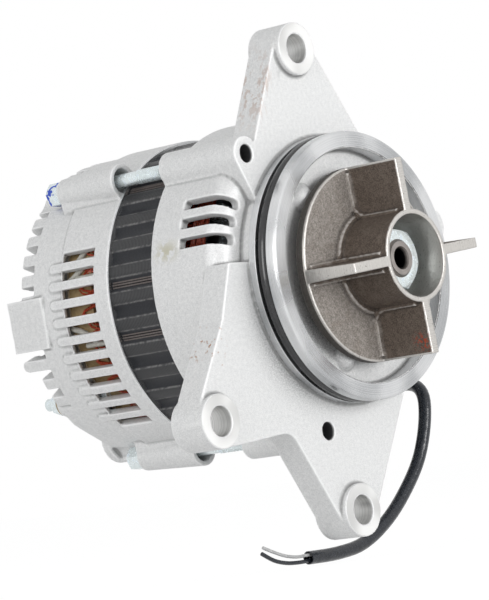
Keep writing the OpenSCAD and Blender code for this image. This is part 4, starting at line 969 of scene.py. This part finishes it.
# %% Ribs
POINTS, LAND, FLUTE, FLUTE_REACH = 12, 54.85, 1.3, 4.2
open_front, open_back = 36.34, 59.06
clear_selection()
bpy.ops.mesh.primitive_circle_add(vertices=SLOTS * POINTS, radius=LAND * MM,
                                  location=(0, open_front * MM, 0), rotation=(pi / 2, 0, 0))
ribs = settle(bpy.context.object)
ribs.name = "core_ribs"
for k in range(POINTS):
    off = (k - POINTS / 2) / FLUTE_REACH
    if abs(off) >= 1:
        continue
    bpy.ops.object.mode_set(mode="EDIT")
    bpy.ops.mesh.select_all(action="DESELECT")
    bpy.ops.object.mode_set(mode="OBJECT")
    for spot in ribs.data.vertices:
        spot.select = spot.index % POINTS == k
    bpy.ops.object.mode_set(mode="EDIT")
    size = 1 - FLUTE * cos(off * pi / 2) / LAND
    bpy.ops.transform.resize(value=(size, 1, size), center_override=(0, open_front * MM, 0))
    bpy.ops.object.mode_set(mode="OBJECT")
edit_all()
bpy.ops.mesh.extrude_region_move(
    TRANSFORM_OT_translate={"value": (0, (open_back - open_front) * MM, 0)})
bpy.ops.mesh.select_all(action="SELECT")
bpy.ops.mesh.normals_make_consistent(inside=False)
bpy.ops.object.mode_set(mode="OBJECT")
modify(ribs, "SOLIDIFY", thickness=1.2 * MM, offset=-1)
give(smooth(ribs, 40), core_varnish, "housing", slot="lamination_steel")
print("ribs:", len(ribs.data.polygons), "faces")

# %% [markdown]
# ## Welds of the core
# Some flutes hold a weld that ties the sheets together: a thin bead between two burnt lines.
# Three thin tubes side by side, low in the flute, catch the light as the bead does.

# %% Weld beads
weld_routes = []
for angle in (15, 75, 135, 175, 195, 235, 295):
    for shift, radius in ((-0.95, 53.75), (0, 53.95), (0.95, 53.75)):
        weld_routes.append([spot_at(radius, angle + shift, open_front + 0.4 + step * 1.45)
                            for step in range(16)])
welds = smooth(tube("core_welds", weld_routes, 0.00034, 2), 50)
give(welds, weld_metal, "housing", slot="lamination_steel")
print("weld beads:", len(weld_routes))

# %% [markdown]
# ## The stator winding
# Each bundle of wires leaves one slot, loops over and goes into another slot three pitches away.
# A loop is a few tubes side by side, and the same loop is laid from every slot at both ends of
# the core.

# %% Loops of wire
core_front, core_back = stations(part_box("stator_core"))
winding_front, winding_back = stations(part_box("stator_winding"))
STRANDS, REACH = 5, 30
routes = []
for face, top, sign in ((core_front, winding_front, -1), (core_back, winding_back, 1)):
    height = abs(top - face) - 0.9
    for i in range(SLOTS):
        for s in range(STRANDS):
            route = []
            for k in range(9):
                t = k / 8
                ease = t * t * (3 - 2 * t)
                rise = height * sin(pi * t) ** 0.55 * (1 - 0.06 * s)
                route.append(spot_at(43.0 + 0.9 * s + 1.6 * ease * (1 if s % 2 else 0.4),
                                     i * SLOT_PITCH + REACH * ease + (s - 2) * 0.7,
                                     face + sign * (rise - 0.4)))
            routes.append(route)
print("loops:", len(routes))

# %% [markdown]
# ## Outer strands and bars
# Behind the rear side slots, a few loose strands stand out from the bundles, which the photograph
# shows in bright red. In the core's slots, the wires are straight bars.

# %% Strands and bars
for i in range(SLOTS):
    for s in range(4):
        lean = 9 if s % 2 else -6
        routes.append([spot_at(50.2 + 0.42 * (s % 3), i * SLOT_PITCH + 3 * s + lean * t,
                               core_back + (12.6 + 1.3 * s) * sin(pi * t) ** 0.6)
                       for t in [k / 6 for k in range(7)]])
loops = tube("winding_loops", routes, 0.00052, 1, caps=False)
smooth(loops, 60)
bars = [[spot_at(42.4 + 1.15 * s, i * SLOT_PITCH, station)
         for station in (core_front - 0.8, core_back + 0.8)]
        for i in range(SLOTS) for s in range(6)]
slot_bars = smooth(tube("winding_bars", bars, 0.00085, 1, caps=False), 60)
winding = join([loops, slot_bars], "winding_wires")
give(winding, winding_varnish, "housing", "stator_winding", slot="varnished_copper")
print("winding:", len(winding.data.polygons), "faces")

# %% [markdown]
# ## Sleeved leads behind the slots
# The leads of the winding run to the rectifier in woven sleeves, which show through the upper
# side slots. Each is a short thick tube on its own route, just inside the wall.

# %% Sleeved leads
sleeve_routes = []
for spots in (((155.5, 73), (157.5, 75.5), (161, 78), (164, 80.5)),
              ((163, 74.5), (165.6, 77.4), (168.5, 81), (170, 84)),
              ((196, 73), (193, 76), (190, 80), (188.5, 84))):
    route = [spot_at(51.2, angle, station) for angle, station in spots]
    sleeve_routes.append(smooth_route(route, 4))
lead_sleeves = smooth(tube("lead_sleeves", sleeve_routes, 0.0011, 3), 50)
give(lead_sleeves, lead_sleeving, "housing", slot="lead_sleeving")
print("sleeved leads:", len(sleeve_routes))

# %% [markdown]
# ## Finishes on the CAD nodes
# Most solids have the right shape already, so their own objects stay and take the finish. One
# table says which, and the last line shows whether a node was left out.

# %% Assign the finishes
finishes = {
    front_casting: ["front_frame"],
    rear_casting: ["rear_frame"],
    ring_rubber: ["pilot_o_ring"],
    bearing_steel: [f"{end}_bearing_{part}" for end in ("front", "rear")
                    for part in ("outer_race", "inner_race", "balls", "cage")],
    zinc: ["bearing_retainer_plate", "retainer_screws", "through_bolts", "rectifier_screws",
           "brush_holder_screws", "regulator_screws", "output_stud", "output_nut", "front_fan",
           "rear_fan", "coupling_washer", "coupling_nut"],
    nickel: ["rectifier_diodes", "brush_spring_1", "brush_spring_2"],
    plate_aluminium: ["rectifier_negative_plate", "rectifier_positive_plate"],
    core_varnish: ["stator_core"],
    winding_varnish: ["stator_winding", "field_coil"],
    tan_resin: ["slot_wedges", "rectifier_spacers", "rectifier_terminal_block", "output_insulator",
                "coil_bobbin"],
    lead_sleeving: ["stator_leads"],
    black_resin: ["brush_holder", "brush_holder_cap", "voltage_regulator", "slip_ring_sleeve"],
    carbon: ["brush_1", "brush_2"],
    grommet_rubber: ["harness_grommet"],
    sleeve_vinyl: ["harness_sleeve", "harness_wire_2"],
    white_vinyl: ["harness_wire_1"],
    shaft_steel: ["rotor_shaft", "shaft_spacer", "shaft_key"],
    pole_steel: ["rotor_pole_front", "rotor_pole_rear"],
    slip_copper: ["slip_rings"],
    coupling_iron: ["drive_coupling"],
}
for material, names in finishes.items():
    for name in names:
        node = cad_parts[name]
        node.data.materials.clear()
        node.data.materials.append(material)
bare = set(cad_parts) - {name for names in finishes.values() for name in names}
print("nodes with a finish:", sum(len(names) for names in finishes.values()), "without:", bare)

# %% [markdown]
# ## The floor
# In the photograph, the object stands on a white sweep. A floor could be lit until it is white,
# but that would flood the object with light from below. So it stays grey for light, and turns
# white for the camera and in reflections. A tenth of it stays grey there too, which keeps the
# object's shadow.

# %% Floor
FLOOR_HEIGHT, WHITE_SHARE = -0.1025, 0.9
clear_selection()
bpy.ops.mesh.primitive_plane_add(size=8, location=(0, 0, FLOOR_HEIGHT))
floor = bpy.context.object
floor.name = "floor"
floor_paint, shader, *_ = new_material("floor paint")
feed(shader.inputs["Base Color"], 0.9)
feed(shader.inputs["Roughness"], 0.9)
tree = shader.id_data
glow = add(tree, "Emission", {"Color": 1, "Strength": 1.06})


def as_seen(tree):
    """One for rays from the camera, in reflections and through glass."""
    seen = add(tree, "LightPath", {})
    rays = sums("MAXIMUM", seen.outputs["Is Camera Ray"], seen.outputs["Is Glossy Ray"])
    return sums("MAXIMUM", rays, seen.outputs["Is Transmission Ray"])


mixer = add(tree, "MixShader", {"Fac": times(as_seen(tree), WHITE_SHARE),
                                1: shader.outputs[0], 2: glow.outputs[0]})
feed(tree.nodes["Material Output"].inputs["Surface"], mixer.outputs[0])
floor.data.materials.append(floor_paint)
print("floor at", FLOOR_HEIGHT)

# %% [markdown]
# ## The world
# The same idea makes the backdrop: full white to the camera and in reflections, and a faint cool
# light for everything else.

# %% World
world = bpy.data.worlds.new("studio")
bpy.context.scene.world = world
world.use_nodes = True
tree = world.node_tree
tree.nodes.clear()
shown = add(tree, "Background", {"Color": 1, "Strength": 1.0})
soft = add(tree, "Background", {"Color": (0.97, 0.985, 1), "Strength": 0.4})
mixer = add(tree, "MixShader", {"Fac": as_seen(tree), 1: soft.outputs[0], 2: shown.outputs[0]})
add(tree, "OutputWorld", {"Surface": mixer.outputs[0]})
print("world:", world.name)

# %% [markdown]
# ## Lamps
# Two large soft lamps do the rest: the key faces the drive end, and a weaker one fills in the
# left side. Large lamps give the wide highlights and soft shadows of a studio tent.

# %% Lamps
def lamp(name, place_at, size, watts):
    """A square lamp that points at the origin."""
    data = bpy.data.lights.new(name, "AREA")
    data.size = size
    data.energy = watts
    made = bpy.data.objects.new(name, data)
    bpy.context.scene.collection.objects.link(made)
    made.location = place_at
    made.rotation_euler = (-Vector(place_at)).to_track_quat("-Z", "Y").to_euler()


lamp("key", (0.15, -1.4, 0.08), size=0.8, watts=15)
lamp("left fill", (-1.35, -0.2, 0.3), size=0.7, watts=6.5)
bpy.context.scene.view_settings.view_transform = "Standard"
print("stage is set")
